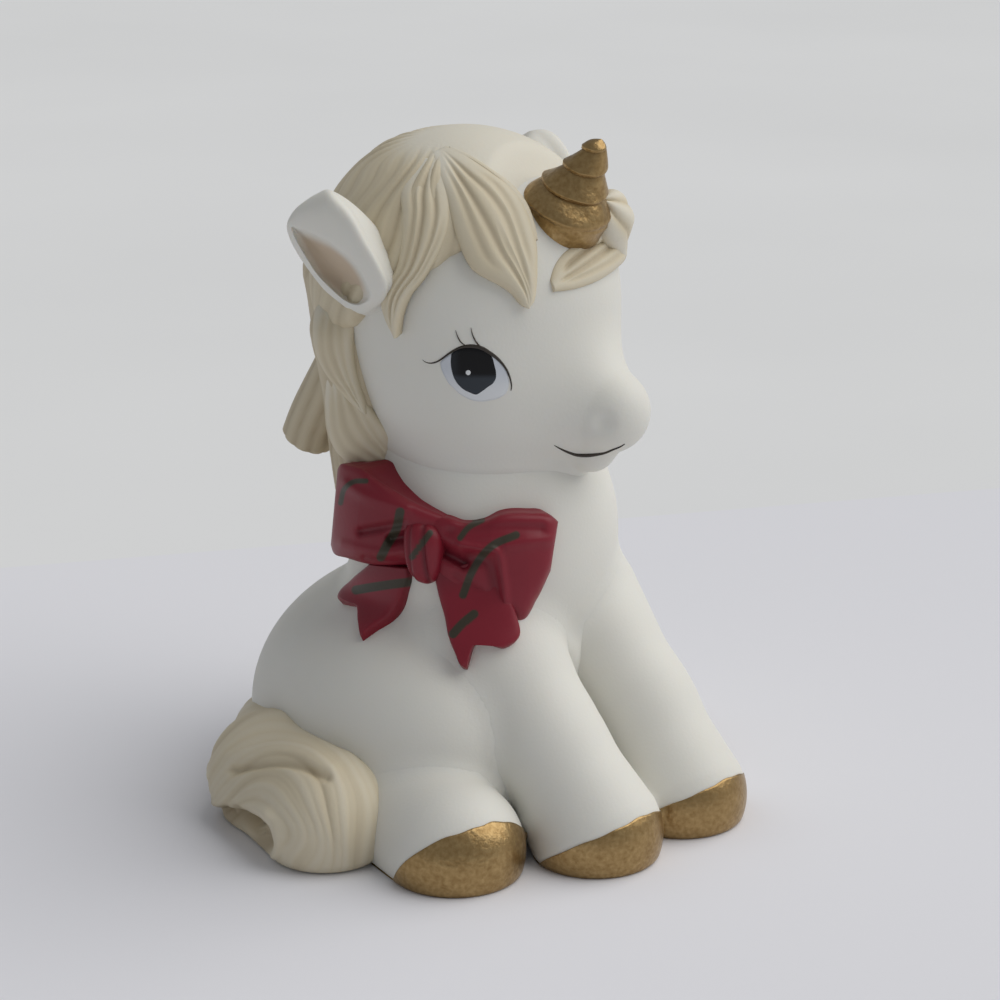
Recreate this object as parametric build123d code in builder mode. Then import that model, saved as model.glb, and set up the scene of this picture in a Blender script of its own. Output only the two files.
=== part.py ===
from build123d import *
import os
from math import asin, cos, degrees, radians, sin

# A sitting unicorn foal in matt bisque porcelain, as cast: hollow body and head,
# solid cast limbs, hair, ears, horn and bow, joined with slip before one firing.
# Millimetres. +Z is up, the foal faces -Y, its right side is -X, and the origin
# is the centre of the flat face that it sits on.

# Cast wall
WALL = 3.0                    # thickness of the two hollow castings
VENT_DIAMETER = 3.6           # kiln vent in the floor of the body
VENT_BACK = 9.0               # vent behind the origin
NECK_BORE_RADIUS = 7.0        # slip passage between body and head

# Body
SEAT_WIDTH = 48.0             # widest part of the rump
SEAT_DEPTH = 44.0             # chest to rump at the same height
NECK_TOP = 52.0               # height where the neck ends inside the head
HAUNCH_RADIUS = 13.0          # half width of a thigh
HAUNCH_REACH = 18.0           # half length of a thigh, front to back
HAUNCH_HEIGHT = 14.5          # half height of a thigh

# Legs and hooves
FORELEG_RADIUS = 8.0          # at the shin
FORELEG_SPACING = 16.4        # between the two shins
FORELEG_REACH = 35.0          # from the origin forward to the middle of a fore hoof
HIND_FOOT_RADIUS = 8.6
HOOF_HEIGHT = 4.0             # gilded hoof, at the middle of its foot

# Head
HEAD_RADIUS = 18.0            # half width of the skull, and the scale of the face
HEAD_CENTRE_HEIGHT = 63.8
HEAD_FORWARD = 8.5            # head centre forward of the origin
HEAD_TURN = 10.0              # degrees, towards the foal's left
MUZZLE_RADIUS = 5.2
CHIN_RADIUS = 3.3
EAR_ROOT_RADIUS = 0.39 * HEAD_RADIUS
EAR_TIP_RADIUS = 0.155 * HEAD_RADIUS
EAR_SCOOP_RADIUS = 0.21 * HEAD_RADIUS     # half width of the hollow of the ear

# Horn
HORN_RADIUS = 4.9             # at the brow
HORN_TIP_RADIUS = 1.1
HORN_LENGTH = 11.8
HORN_LEAN = 28.0              # degrees forward of upright
HORN_TURNS = 3.5
HORN_WIND = 0.5               # how far the turns stand off the horn's axis

# Hair
CAP_THICKNESS = 3.2           # hair over the crown
LOCK_RISE = 0.7               # of a forelock over the cap
CURL_RADIUS = 2.5             # hair rolled round the foot of the horn
CURL_SWEEP_RADIUS = 5.3       # middle of the roll from the horn's axis
CURL_RISE = 1.2               # up the horn from its root
CURL_START = 60.0             # degrees round the horn, from the foal's left, to the roll's start
CURL_ARC = -210.0             # degrees that the roll goes round, over the front
MANE_RADIUS = 8.2             # hair behind the crown, tapering down the neck
SIDE_LOCK_RADIUS = 4.3
TAIL_RADIUS = 8.8

# Bow
KNOT_WIDTH = 5.6
KNOT_HEIGHT = 7.4
LOOP_SPAN = 47.0              # degrees of the neck that one loop lies round
LOOP_HEIGHT = 12.6            # at its outer end
LOOP_THICKNESS = 4.6
RIBBON_THICKNESS = 1.3        # tails of the bow
TAIL_LENGTH = 12.5            # knot to the tips of a tail
KNOT_ANGLE = -71.0            # degrees round the neck from straight ahead


def unit(direction):
    """A vector of length 1 along a direction."""
    return Vector(*direction).normalized()


def ellipsoid(centre, radii, frame=Plane.XY):
    """An ellipsoid whose centre and axes are given in a frame."""
    with BuildPart() as form:
        Sphere(1)
        scale(by=tuple(radii))
    return frame.location * Pos(*centre) * form.part


def round_cone(start, end, start_radius, end_radius):
    """A straight taper between two balls, turned as one profile."""
    start = Vector(*start)
    heading = unit(Vector(*end) - start)
    length = (Vector(*end) - start).length
    slope = asin((start_radius - end_radius) / length)
    turn = degrees(slope)
    spare = Vector(0, 0, 1) if abs(heading.Z) < 0.9 else Vector(1, 0, 0)
    outward = unit(heading.cross(spare))
    with BuildPart() as form:
        with BuildSketch(Plane(origin=start, x_dir=outward, z_dir=outward.cross(heading))):
            with BuildLine():
                CenterArc((0, 0), start_radius, -90, 90 + turn)
                Line((start_radius * cos(slope), start_radius * sin(slope)),
                     (end_radius * cos(slope), length + end_radius * sin(slope)))
                CenterArc((0, length), end_radius, turn, 90 - turn)
                Line((0, length + end_radius), (0, -start_radius))
            make_face()
        revolve(axis=Axis(start, heading))
    return form.part


def ball(centre, radius):
    """A ball at a place."""
    with BuildPart() as form:
        with Locations(Vector(*centre)):
            Sphere(radius)
    return form.part


def limb(points, radii, side=(0, 0, 1)):
    """A bent limb: a loft through circles square to its path, domed at both ends."""
    path = [Vector(*p) for p in points]
    last = len(path) - 1
    stations = []
    for i, point in enumerate(path):
        before = path[max(i - 1, 0)]
        after = path[min(i + 1, last)]
        heading = unit(after - before)
        if i == 0:
            for turn in (75, 40):
                back = heading * (-radii[0] * sin(radians(turn)))
                stations.append((point + back, heading, radii[0] * cos(radians(turn))))
        stations.append((point, heading, radii[i]))
        if i == last:
            for turn in (40, 75):
                ahead = heading * (radii[i] * sin(radians(turn)))
                stations.append((point + ahead, heading, radii[i] * cos(radians(turn))))
    with BuildPart() as form:
        for point, heading, radius in stations:
            across = unit(Vector(*side).cross(heading))
            with BuildSketch(Plane(origin=point, x_dir=across, z_dir=heading)):
                Circle(radius)
        loft()
    return form.part


def joined(first, *others):
    """Forms that are one casting."""
    with BuildPart() as form:
        add(first)
        for other in others:
            add(other)
    return form.part


def trimmed(form, *others):
    """A form with the pieces that it is luted onto taken out of it."""
    with BuildPart() as rest:
        add(form)
        for other in others:
            add(other, mode=Mode.SUBTRACT)
    return rest.part


def above_floor(form):
    """A form cut flat at the height that the foal sits on."""
    with BuildPart() as rest:
        add(form)
        split(bisect_by=Plane.XY, keep=Keep.TOP)
    return rest.part


def parted(form, plane, keep):
    """One side of a form that a plane divides."""
    with BuildPart() as rest:
        add(form)
        split(bisect_by=plane, keep=keep)
    return rest.part


def largest(form):
    """The main solid of a form whose trimming left slivers behind."""
    return form.solids().sort_by(SortBy.VOLUME)[-1]


def save(form, label):
    """Label one piece and write its STEP file."""
    form.label = label
    export_step(form, f"parts/{label}.step")


os.makedirs("parts", exist_ok=True)

# Body
# Ovals from the seat up to the neck: share of the neck's height, half width as a share of
# half the seat's width, half depth as a share of half its depth, and how far the oval's
# middle lies forward, as a share of the seat's depth.
BODY_SHARES = [
    (0.00, 0.90, 0.88, -0.045),
    (0.16, 1.02, 1.00, -0.045),
    (0.34, 0.91, 0.97, -0.005),
    (0.50, 0.70, 0.83, 0.125),
    (0.62, 0.71, 0.77, 0.18),
    (0.74, 0.69, 0.74, 0.19),
    (0.86, 0.62, 0.67, 0.18),
    (1.00, 0.54, 0.59, 0.16),
]


def torso(grow):
    """The trunk and neck, with every oval larger by grow."""
    with BuildPart() as form:
        for height, width, depth, forward in BODY_SHARES:
            centre = (0, -forward * SEAT_DEPTH, height * NECK_TOP)
            with BuildSketch(Plane(origin=centre, x_dir=(1, 0, 0), z_dir=(0, 0, 1))):
                Ellipse(width * SEAT_WIDTH / 2 + grow, depth * SEAT_DEPTH / 2 + grow)
        loft()
    return form.part


def haunch(side, grow):
    """One thigh; side is -1 for the right one."""
    centre = (side * 0.62 * SEAT_WIDTH / 2, -0.16 * SEAT_DEPTH, 0.79 * HAUNCH_HEIGHT)
    return ellipsoid(centre, (HAUNCH_RADIUS + grow, HAUNCH_REACH + grow, HAUNCH_HEIGHT + grow))


def trunk(grow=0.0):
    """Trunk, neck and both thighs as one form."""
    return above_floor(joined(torso(grow), haunch(-1, grow), haunch(1, grow)))


body_outer = trunk()

# Head
HEAD_FRAME = Plane(
    origin=(0, -HEAD_FORWARD, HEAD_CENTRE_HEIGHT),
    x_dir=(cos(radians(HEAD_TURN)), sin(radians(HEAD_TURN)), 0),
    z_dir=(0, 0, 1),
)


def on_head(x, y, z):
    """A place given in shares of the head's radius, from the head's centre."""
    return HEAD_FRAME.from_local_coords(Vector(x, y, z) * HEAD_RADIUS)


def skull(grow=0.0):
    """Skull and cheeks; grow below zero gives the hollow."""
    cranium = ball(on_head(0, 0.07, 0.05), 0.985 * HEAD_RADIUS + grow)
    cheeks = ball(on_head(0, -0.03, -0.53), 0.85 * HEAD_RADIUS + grow)
    return joined(cranium, cheeks)


muzzle = round_cone(on_head(0, -0.44, -0.47), on_head(0, -1.0, -0.63),
                    1.65 * MUZZLE_RADIUS, MUZZLE_RADIUS)
chin = round_cone(on_head(0, -0.50, -0.78), on_head(0, -0.87, -0.90),
                  1.5 * CHIN_RADIUS, CHIN_RADIUS)
head_outer = joined(skull(), muzzle, chin)

with BuildPart() as neck_bore:
    bore_foot = HEAD_FRAME.origin - Vector(0, 0, 1.6 * HEAD_RADIUS)
    with BuildSketch(Plane(origin=bore_foot, z_dir=(0, 0, 1))):
        Circle(NECK_BORE_RADIUS)
    extrude(amount=HEAD_RADIUS)

with BuildPart() as head_shell:
    add(head_outer)
    add(skull(-WALL), mode=Mode.SUBTRACT)
    add(neck_bore.part, mode=Mode.SUBTRACT)

# The body's hollow follows the trunk alone: the thighs are cast thick.
with BuildPart() as body_shell:
    add(body_outer)
    add(head_outer, mode=Mode.SUBTRACT)
    add(parted(torso(-WALL), Plane.XY.offset(WALL), Keep.TOP), mode=Mode.SUBTRACT)
    with Locations((0, VENT_BACK, WALL)):
        Hole(VENT_DIAMETER / 2, depth=2 * WALL)

# Forelegs
# From the shoulder down to the hoof: shares of the reach forward, of the neck's height up,
# and of the shin's radius.
FORELEG_SHARES = [(0.46, 0.44, 1.16), (0.63, 0.36, 1.08), (0.80, 0.23, 0.97), (0.93, 0.13, 0.99),
                  (1.0, 0.05, 1.04)]


def foreleg_form(side, grow=0.0):
    """A whole foreleg with its hoof, kept to its own side of the middle."""
    points = [
        (side * FORELEG_SPACING / 2, -forward * FORELEG_REACH, up * NECK_TOP)
        for forward, up, _ in FORELEG_SHARES
    ]
    radii = [size * FORELEG_RADIUS + grow for _, _, size in FORELEG_SHARES]
    form = limb(points, radii, side=(1, 0, 0))
    keep = Keep.TOP if side > 0 else Keep.BOTTOM
    return parted(above_floor(form), Plane.YZ, keep)


def hoof_plane(side, forward, height, turn, tilt):
    """The plane that parts a hoof from its leg: it rises backwards to forwards."""
    normal = (sin(radians(turn)) * cos(radians(tilt)) * side,
              -cos(radians(turn)) * cos(radians(tilt)), -sin(radians(tilt)))
    return Plane(origin=(side * forward[0], -forward[1], height), z_dir=normal)


FORE_HOOF_TILT = 52.0         # degrees that the coronet leans from upright
HIND_HOOF_TILT = 48.0
HIND_HOOF_TURN = 12.0         # degrees that a hind foot points outwards
HIND_HOOF_SHARE = 0.16        # of the foot's radius, from the toe's middle to the coronet's

fore_pieces = {}
for name, side in (("right", -1), ("left", 1)):
    form = trimmed(foreleg_form(side), body_outer)
    cut = hoof_plane(side, (FORELEG_SPACING / 2, FORELEG_REACH), HOOF_HEIGHT, 0, FORE_HOOF_TILT)
    fore_pieces[name] = (largest(parted(form, cut, Keep.BOTTOM)),
                         largest(parted(form, cut, Keep.TOP)))

# Hind feet: the right one shows beside the forelegs, the left one is tucked further back.
HIND_REACH_SHARES = {"right": (0.40, 0.74), "left": (0.14, 0.36)}   # heel and toe, of the reach
HIND_ACROSS_SHARES = {"right": (0.83, 0.98), "left": (0.79, 0.83)}  # of half the seat's width
hind_pieces = {}
hind_forms = {}
for name, side in (("right", -1), ("left", 1)):
    heel, toe = HIND_REACH_SHARES[name]
    heel_out, toe_out = HIND_ACROSS_SHARES[name]
    points = [
        (side * heel_out * SEAT_WIDTH / 2, -heel * FORELEG_REACH, 0.45 * HIND_FOOT_RADIUS),
        (side * toe_out * SEAT_WIDTH / 2, -toe * FORELEG_REACH, 0.33 * HIND_FOOT_RADIUS),
    ]
    whole = above_floor(round_cone(*points, 1.05 * HIND_FOOT_RADIUS, HIND_FOOT_RADIUS))
    hind_forms[name] = whole
    form = trimmed(whole, body_outer, foreleg_form(side))
    toe_place = (toe_out * SEAT_WIDTH / 2,
                 toe * FORELEG_REACH + HIND_HOOF_SHARE * HIND_FOOT_RADIUS)
    cut = hoof_plane(side, toe_place, HOOF_HEIGHT, HIND_HOOF_TURN, HIND_HOOF_TILT)
    hind_pieces[name] = (largest(parted(form, cut, Keep.BOTTOM)),
                         largest(parted(form, cut, Keep.TOP)))

# Tail: a thick lock that comes round the rump, swells beside the right thigh and curls round
# a hollow. Shares of half the seat's width across, half its depth back, of the tail's radius up,
# and of that radius for the size.
TAIL_SHARES = [(-0.62, 0.80, 0.68, 0.68), (-1.15, 0.14, 0.68, 0.98), (-1.25, -0.45, 0.62, 1.04)]
TAIL_HOLLOW_SHARES = [(-1.62, 0.16, 0.30, 0.26), (-1.47, -0.18, 0.40, 0.20)]


def placed_on_seat(shares):
    """Places and radii from shares of the seat and of the tail's radius."""
    places = [(across * SEAT_WIDTH / 2, back * SEAT_DEPTH / 2, up * TAIL_RADIUS)
              for across, back, up, _ in shares]
    return places, [size * TAIL_RADIUS for _, _, _, size in shares]


tail_places, tail_radii = placed_on_seat(TAIL_SHARES)
hollow_places, hollow_radii = placed_on_seat(TAIL_HOLLOW_SHARES)
tail_form = above_floor(joined(
    round_cone(tail_places[0], tail_places[1], tail_radii[0], tail_radii[1]),
    round_cone(tail_places[1], tail_places[2], tail_radii[1], tail_radii[2]),
))
tail_form = trimmed(tail_form, round_cone(*hollow_places, *hollow_radii))
tail = largest(trimmed(tail_form, body_outer, hind_forms["right"]))

# Mane: a long swelling lock down the back of the neck, a lock that flicks out of it,
# and a straight lock behind each cheek. Places are shares of the head's radius.
mane_form = round_cone(on_head(-0.13, 0.90, 0.10), on_head(-0.20, 0.86, -1.42),
                       MANE_RADIUS, 0.72 * MANE_RADIUS)
flick_form = round_cone(on_head(-0.25, 1.12, -0.30), on_head(-0.23, 1.52, -1.10),
                        0.95 * SIDE_LOCK_RADIUS, 0.32 * SIDE_LOCK_RADIUS)


def side_lock(side):
    """A lock that hangs behind a cheek down to the neck."""
    return round_cone(on_head(side * 0.76, 0.66, -0.20), on_head(side * 0.62, 0.50, -1.30),
                      SIDE_LOCK_RADIUS, 0.8 * SIDE_LOCK_RADIUS)


right_lock_form = side_lock(-1)
left_lock_form = side_lock(1)
mane = largest(trimmed(mane_form, head_outer, body_outer))
mane_flick = largest(trimmed(flick_form, mane_form))
mane_right_lock = largest(trimmed(right_lock_form, head_outer, body_outer, mane_form))
mane_left_lock = largest(trimmed(left_lock_form, head_outer, body_outer, mane_form))

# Ears
EAR_ROOT_SHARES = (0.78, 0.22, 0.31)
EAR_TIP_SHARES = (1.14, 0.72, 0.66)
SCOOP_ROOT_SHARES = (1.17, 0.12, 0.20)    # the hollow of the ear, outwards and forwards
SCOOP_TIP_SHARES = (1.31, 0.50, 0.50)


def ear_form(side):
    """A pricked ear with its open hollow facing outwards and forwards."""
    def place(x, y, z):
        return on_head(side * x, y, z)
    blade = round_cone(place(*EAR_ROOT_SHARES), place(*EAR_TIP_SHARES),
                       EAR_ROOT_RADIUS, EAR_TIP_RADIUS)
    scoop = round_cone(place(*SCOOP_ROOT_SHARES), place(*SCOOP_TIP_SHARES),
                       EAR_SCOOP_RADIUS, 0.7 * EAR_SCOOP_RADIUS)
    return trimmed(blade, scoop)


right_ear_form = ear_form(-1)
left_ear_form = ear_form(1)
right_ear = largest(trimmed(right_ear_form, head_outer, right_lock_form))
left_ear = largest(trimmed(left_ear_form, head_outer, left_lock_form))

# Hair over the crown: a cap thickest at the top and back, cut off along a slanting edge.
cap_plane = Plane(origin=on_head(0, 0, 0.22), z_dir=(0, 0.4, 1))
CAP_CENTRE_SHARES = (0, 0.18, 0.14)
cap_radius = HEAD_RADIUS + 0.35 * CAP_THICKNESS
cap_form = parted(ball(on_head(*CAP_CENTRE_SHARES), cap_radius), cap_plane, Keep.TOP)

# Main strands of the crown, behind and on the left: rolls that run down over the cap.
STRAND_RADIUS = 0.10 * HEAD_RADIUS
STRAND_TURNS = [70, 95, 120, 145, 170, 195, 220]    # degrees round from the face, leftwards
STRAND_TOP = 66.0             # degrees up from level, at a strand's top end
STRAND_FOOT = 24.0
STRAND_SINK = 0.62            # share of its radius that a strand is sunk in the cap


def strand(turn):
    """One roll of hair down the cap, with a round foot."""
    centre = on_head(*CAP_CENTRE_SHARES)
    a = radians(turn + HEAD_TURN)
    level = Vector(sin(a), -cos(a), 0)
    sweep = cap_radius - STRAND_SINK * STRAND_RADIUS

    def down(angle):
        return level * cos(radians(angle)) + Vector(0, 0, sin(radians(angle)))

    foot = down(STRAND_FOOT)
    axis = Vector(0, 0, 1).cross(level)
    with BuildPart() as roll:
        with BuildSketch(Plane(origin=centre + foot * sweep, x_dir=foot, z_dir=foot.cross(axis))):
            Circle(STRAND_RADIUS)
        revolve(axis=Axis(centre, axis), revolution_arc=STRAND_FOOT - STRAND_TOP)
        with Locations(centre + foot * sweep):
            Sphere(STRAND_RADIUS)
        with Locations(centre + down(STRAND_TOP) * sweep):
            Sphere(STRAND_RADIUS)
    return roll.part


strand_forms = [strand(turn) for turn in STRAND_TURNS]

# Horn: ovals whose middles wind round the axis, so that the turns stand out like a rope.
HORN_ROOT_SHARES = (0, -0.62, 0.66)
lean = radians(HORN_LEAN)
turned = radians(HEAD_TURN)
horn_plane = Plane(
    origin=on_head(*HORN_ROOT_SHARES),
    x_dir=(cos(turned), sin(turned), 0),
    z_dir=(sin(turned) * sin(lean), -cos(turned) * sin(lean), cos(lean)),
)
HORN_STATIONS = 15
with BuildPart() as horn_build:
    for i in range(HORN_STATIONS):
        share = i / (HORN_STATIONS - 1)
        radius = HORN_RADIUS + (HORN_TIP_RADIUS - HORN_RADIUS) * share
        wind = radians(360 * HORN_TURNS * share)
        stand_off = HORN_WIND * (1 - 0.6 * share)
        centre = horn_plane.from_local_coords(
            (stand_off * cos(wind), stand_off * sin(wind), share * HORN_LENGTH))
        with BuildSketch(Plane(origin=centre, x_dir=horn_plane.x_dir, z_dir=horn_plane.z_dir)):
            Circle(radius)
    loft()
horn_form = horn_build.part
horn = largest(trimmed(horn_form, head_outer))


# Forelocks: leaves of hair cut from a layer round the skull. Each outline is seen from
# in front of one temple, in shares of the head's radius across and up.
LOCK_VIEW_AROUND = 56.0       # degrees round from the face to where the locks are seen from
LOCK_VIEW_UP = 18.0
LOCK_OUTLINE_SHARES = {
    "forelock_tip": [(-0.08, 1.05), (-0.20, 0.74), (-0.18, 0.42), (-0.05, 0.20), (0.30, 0.01),
                     (0.35, 0.26), (0.30, 0.49), (0.16, 0.81), (0.02, 1.08)],
    "forelock_side": [(-0.30, 1.05), (-0.61, 0.88), (-0.81, 0.56), (-0.72, 0.25), (-0.63, -0.17),
                      (-0.44, 0.11), (-0.24, 0.42), (-0.21, 0.74), (-0.09, 1.08)],
    "forelock_top": [(0.03, 1.08), (0.17, 0.81), (0.31, 0.49), (0.36, 0.28), (0.45, 0.42),
                     (0.42, 0.70), (0.28, 1.00)],
}


def forelock(side, outline):
    """One leaf of the hair layer; side is -1 over the right temple."""
    around = radians(LOCK_VIEW_AROUND)
    up = radians(LOCK_VIEW_UP)
    local = Vector(side * sin(around) * cos(up), -cos(around) * cos(up), sin(up))
    outward = HEAD_FRAME.from_local_coords(local) - HEAD_FRAME.origin
    across = unit(Vector(0, 0, 1).cross(outward))
    with BuildPart() as leaf:
        with BuildSketch(Plane(origin=HEAD_FRAME.origin, x_dir=across, z_dir=outward)):
            with BuildLine():
                Polyline([(-side * x * HEAD_RADIUS, y * HEAD_RADIUS) for x, y in outline],
                         close=True)
            make_face()
        extrude(amount=2 * HEAD_RADIUS)
        add(hair_layer, mode=Mode.INTERSECT)
    return leaf.part


hair_layer = ball(on_head(*CAP_CENTRE_SHARES), cap_radius + LOCK_RISE)
LEFT_LOCKS = {"forelock_left": "forelock_side"}
lock_forms = {name: forelock(-1, outline) for name, outline in LOCK_OUTLINE_SHARES.items()}
right_forms = list(lock_forms.values())
for name, pattern in LEFT_LOCKS.items():
    lock_forms[name] = trimmed(forelock(1, LOCK_OUTLINE_SHARES[pattern]), *right_forms)
lock_pieces = {
    name: largest(trimmed(form, head_outer, right_ear_form, left_ear_form, horn_form))
    for name, form in lock_forms.items()
}
hair_cap = largest(trimmed(
    joined(cap_form, *strand_forms), head_outer, mane_form, right_ear_form, left_ear_form,
    right_lock_form, left_lock_form, horn_form, *lock_forms.values()))

# Curl of hair rolled round the far side and the front of the horn's foot.
curl_centre = horn_plane.origin + horn_plane.z_dir * CURL_RISE
with BuildPart() as curl_build:
    curl_axis = Axis(curl_centre, horn_plane.z_dir)
    start_dir = unit(horn_plane.x_dir * cos(radians(CURL_START))
                     + horn_plane.y_dir * sin(radians(CURL_START)))
    section = Plane(origin=curl_centre + start_dir * CURL_SWEEP_RADIUS, x_dir=start_dir,
                    z_dir=horn_plane.z_dir.cross(start_dir))
    with BuildSketch(section):
        Circle(CURL_RADIUS)
    revolve(axis=curl_axis, revolution_arc=CURL_ARC)
curl_form = curl_build.part
horn_curl = largest(trimmed(curl_form, head_outer, horn_form, cap_form, *lock_forms.values()))

# Bow
NECK_Y = -0.185 * SEAT_DEPTH              # the neck's axis behind the bow
NECK_HALF_WIDTH = 0.685 * SEAT_WIDTH / 2  # where the bow lies
NECK_HALF_DEPTH = 0.745 * SEAT_DEPTH / 2
KNOT_HEIGHT_SHARE = 0.70                  # of the neck's height
KNOT_Z = KNOT_HEIGHT_SHARE * NECK_TOP


def round_neck(turn, proud, height):
    """A place proud of the oval neck, turn degrees from the knot."""
    a = radians(KNOT_ANGLE + turn)
    return Vector((NECK_HALF_WIDTH + proud) * sin(a),
                  NECK_Y - (NECK_HALF_DEPTH + proud) * cos(a), height)


def bow_plane(turn, proud, height):
    """A plane that stands across the ribbon at a place round the neck."""
    a = radians(KNOT_ANGLE + turn)
    return Plane(origin=round_neck(turn, proud, height), x_dir=(sin(a), -cos(a), 0),
                 z_dir=(cos(a), sin(a), 0))


# Along a loop: shares of its span, its outer height and its thickness.
LOOP_SHARES = [(0.10, 0.50, 0.62), (0.34, 0.72, 0.95), (0.68, 0.92, 1.0), (1.0, 1.0, 0.80)]
LOOP_CORNER_SHARE = 0.22      # corner radius of a section, of its thickness


def bow_loop(side, rise):
    """One loop: a flattened pad that widens from the knot outwards."""
    with BuildPart() as form:
        for span, tall, thick in LOOP_SHARES:
            thickness = thick * LOOP_THICKNESS
            height = KNOT_Z + rise * span
            where = bow_plane(side * span * LOOP_SPAN, thickness / 4, height)
            with BuildSketch(where):
                RectangleRounded(thickness, tall * LOOP_HEIGHT, LOOP_CORNER_SHARE * thickness)
        loft()
    return form.part


LEFT_LOOP_RISE = 3.0          # the loop towards the mane sits higher at its end
RIGHT_LOOP_DROP = 1.6
knot_plane = bow_plane(0, LOOP_THICKNESS / 4, KNOT_Z)
knot_form = ellipsoid(
    (0, 0, 0), (0.62 * LOOP_THICKNESS, KNOT_HEIGHT / 2, KNOT_WIDTH / 2), knot_plane)
back_loop_form = bow_loop(-1, LEFT_LOOP_RISE)
front_loop_form = bow_loop(1, -RIGHT_LOOP_DROP)
ribbon_bed = joined(trunk(RIBBON_THICKNESS), foreleg_form(-1, RIBBON_THICKNESS))
right_foreleg_form = foreleg_form(-1)

# The outline of a tail, from the knot to its two points: shares of its length along the
# ribbon and across it.
TAIL_OUTLINE_SHARES = {
    "bow_back_tail": [(0.02, -0.12), (-0.22, -0.30), (-0.62, -0.33), (-0.98, -0.70),
                      (-0.68, -0.78), (-0.66, -1.05), (-0.36, -0.86), (-0.12, -0.58)],
    "bow_front_tail": [(0.02, -0.20), (0.28, -0.98), (0.50, -1.20), (0.64, -0.92),
                       (1.02, -0.86), (0.90, -0.46), (0.40, -0.16)],
}
tail_pieces = {}
for name, outline in TAIL_OUTLINE_SHARES.items():
    a = radians(KNOT_ANGLE)
    face = Plane(origin=round_neck(0, 0, KNOT_Z), x_dir=(cos(a), sin(a), 0),
                 z_dir=(sin(a), -cos(a), 0))
    with BuildPart() as ribbon:
        with BuildSketch(face.offset(-NECK_HALF_WIDTH / 2)):
            with BuildLine():
                Polyline([(x * TAIL_LENGTH, y * TAIL_LENGTH) for x, y in outline], close=True)
            make_face()
        extrude(amount=NECK_HALF_WIDTH)
        add(ribbon_bed, mode=Mode.INTERSECT)
        for under in (body_outer, right_foreleg_form, knot_form, back_loop_form, front_loop_form):
            add(under, mode=Mode.SUBTRACT)
    tail_pieces[name] = largest(ribbon.part)

hair_under = (body_outer, right_foreleg_form, head_outer, mane_form, right_lock_form)
bow_knot = largest(trimmed(knot_form, *hair_under))
bow_back_loop = largest(trimmed(back_loop_form, knot_form, *hair_under))
bow_front_loop = largest(trimmed(front_loop_form, knot_form, *hair_under))

# Write every piece
save(body_shell.part, "body_shell")
save(head_shell.part, "head_shell")
for name, (leg, hoof) in fore_pieces.items():
    save(leg, f"{name}_foreleg")
    save(hoof, f"{name}_fore_hoof")
for name, (foot, hoof) in hind_pieces.items():
    save(foot, f"{name}_hind_foot")
    save(hoof, f"{name}_hind_hoof")
save(tail, "tail")
save(mane, "mane")
save(mane_flick, "mane_flick")
save(mane_right_lock, "mane_right_lock")
save(mane_left_lock, "mane_left_lock")
save(right_ear, "right_ear")
save(left_ear, "left_ear")
save(hair_cap, "hair_cap")
for name, piece in lock_pieces.items():
    save(piece, name)
save(horn_curl, "horn_curl")
save(horn, "horn")
save(bow_knot, "bow_knot")
save(bow_back_loop, "bow_back_loop")
save(bow_front_loop, "bow_front_loop")
for name, piece in tail_pieces.items():
    save(piece, name)
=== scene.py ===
import math

import bpy
import numpy as np
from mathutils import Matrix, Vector


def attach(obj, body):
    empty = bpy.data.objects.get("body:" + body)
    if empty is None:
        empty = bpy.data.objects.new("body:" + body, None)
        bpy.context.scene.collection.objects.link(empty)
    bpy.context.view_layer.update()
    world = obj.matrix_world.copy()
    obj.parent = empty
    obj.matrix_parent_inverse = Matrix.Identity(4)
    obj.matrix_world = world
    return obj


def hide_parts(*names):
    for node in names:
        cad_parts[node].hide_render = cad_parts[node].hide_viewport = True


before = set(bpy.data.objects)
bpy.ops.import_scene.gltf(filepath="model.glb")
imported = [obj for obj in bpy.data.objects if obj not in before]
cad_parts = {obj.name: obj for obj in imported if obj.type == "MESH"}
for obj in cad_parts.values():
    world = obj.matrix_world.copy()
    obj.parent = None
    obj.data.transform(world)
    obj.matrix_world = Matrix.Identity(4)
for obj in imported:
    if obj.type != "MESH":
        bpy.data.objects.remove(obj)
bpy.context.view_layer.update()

# A sitting unicorn foal in bisque porcelain. Lengths in this file are millimetres in the
# model's own frame; a mesh is turned into metres when it is made.
MM = 0.001
FINE = 1.0


def count(number):
    return int(number * FINE)


def spot(*numbers):
    """A place or direction as an array."""
    return np.array(numbers, dtype=float)


def size_of(vectors):
    """Length of each vector."""
    return np.sqrt((vectors * vectors).sum(-1))


def unit(vectors):
    """Vectors of length 1 along each vector."""
    return vectors / np.maximum(size_of(vectors)[..., None], 1e-9)


# Camera, fitted to the photograph
CAMERA_PLACE = spot(-255.99, -258.09, 153.95)
CAMERA_TARGET = spot(3.98, -7.04, 36.52)
FOCAL = 2964.0                # in picture units, for a picture 1000 wide
PICTURE = 1000.0
SENSOR = 36.0
CAMERA_FAR = 100.0            # metres
look = unit(CAMERA_TARGET - CAMERA_PLACE)
look_right = unit(np.cross(look, spot(0, 0, 1)))
look_up = np.cross(look_right, look)


def sight(picture):
    """Directions from the camera through points of the picture, down and right from its corner."""
    across = picture[..., 0] - PICTURE / 2
    above = PICTURE / 2 - picture[..., 1]
    return unit(FOCAL * look + across[..., None] * look_right + above[..., None] * look_up)


def seen(points):
    """Where places fall in the picture."""
    arm = points - CAMERA_PLACE
    depth = arm @ look
    return np.stack([PICTURE / 2 + FOCAL * (arm @ look_right) / depth,
                     PICTURE / 2 - FOCAL * (arm @ look_up) / depth], -1)


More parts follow.
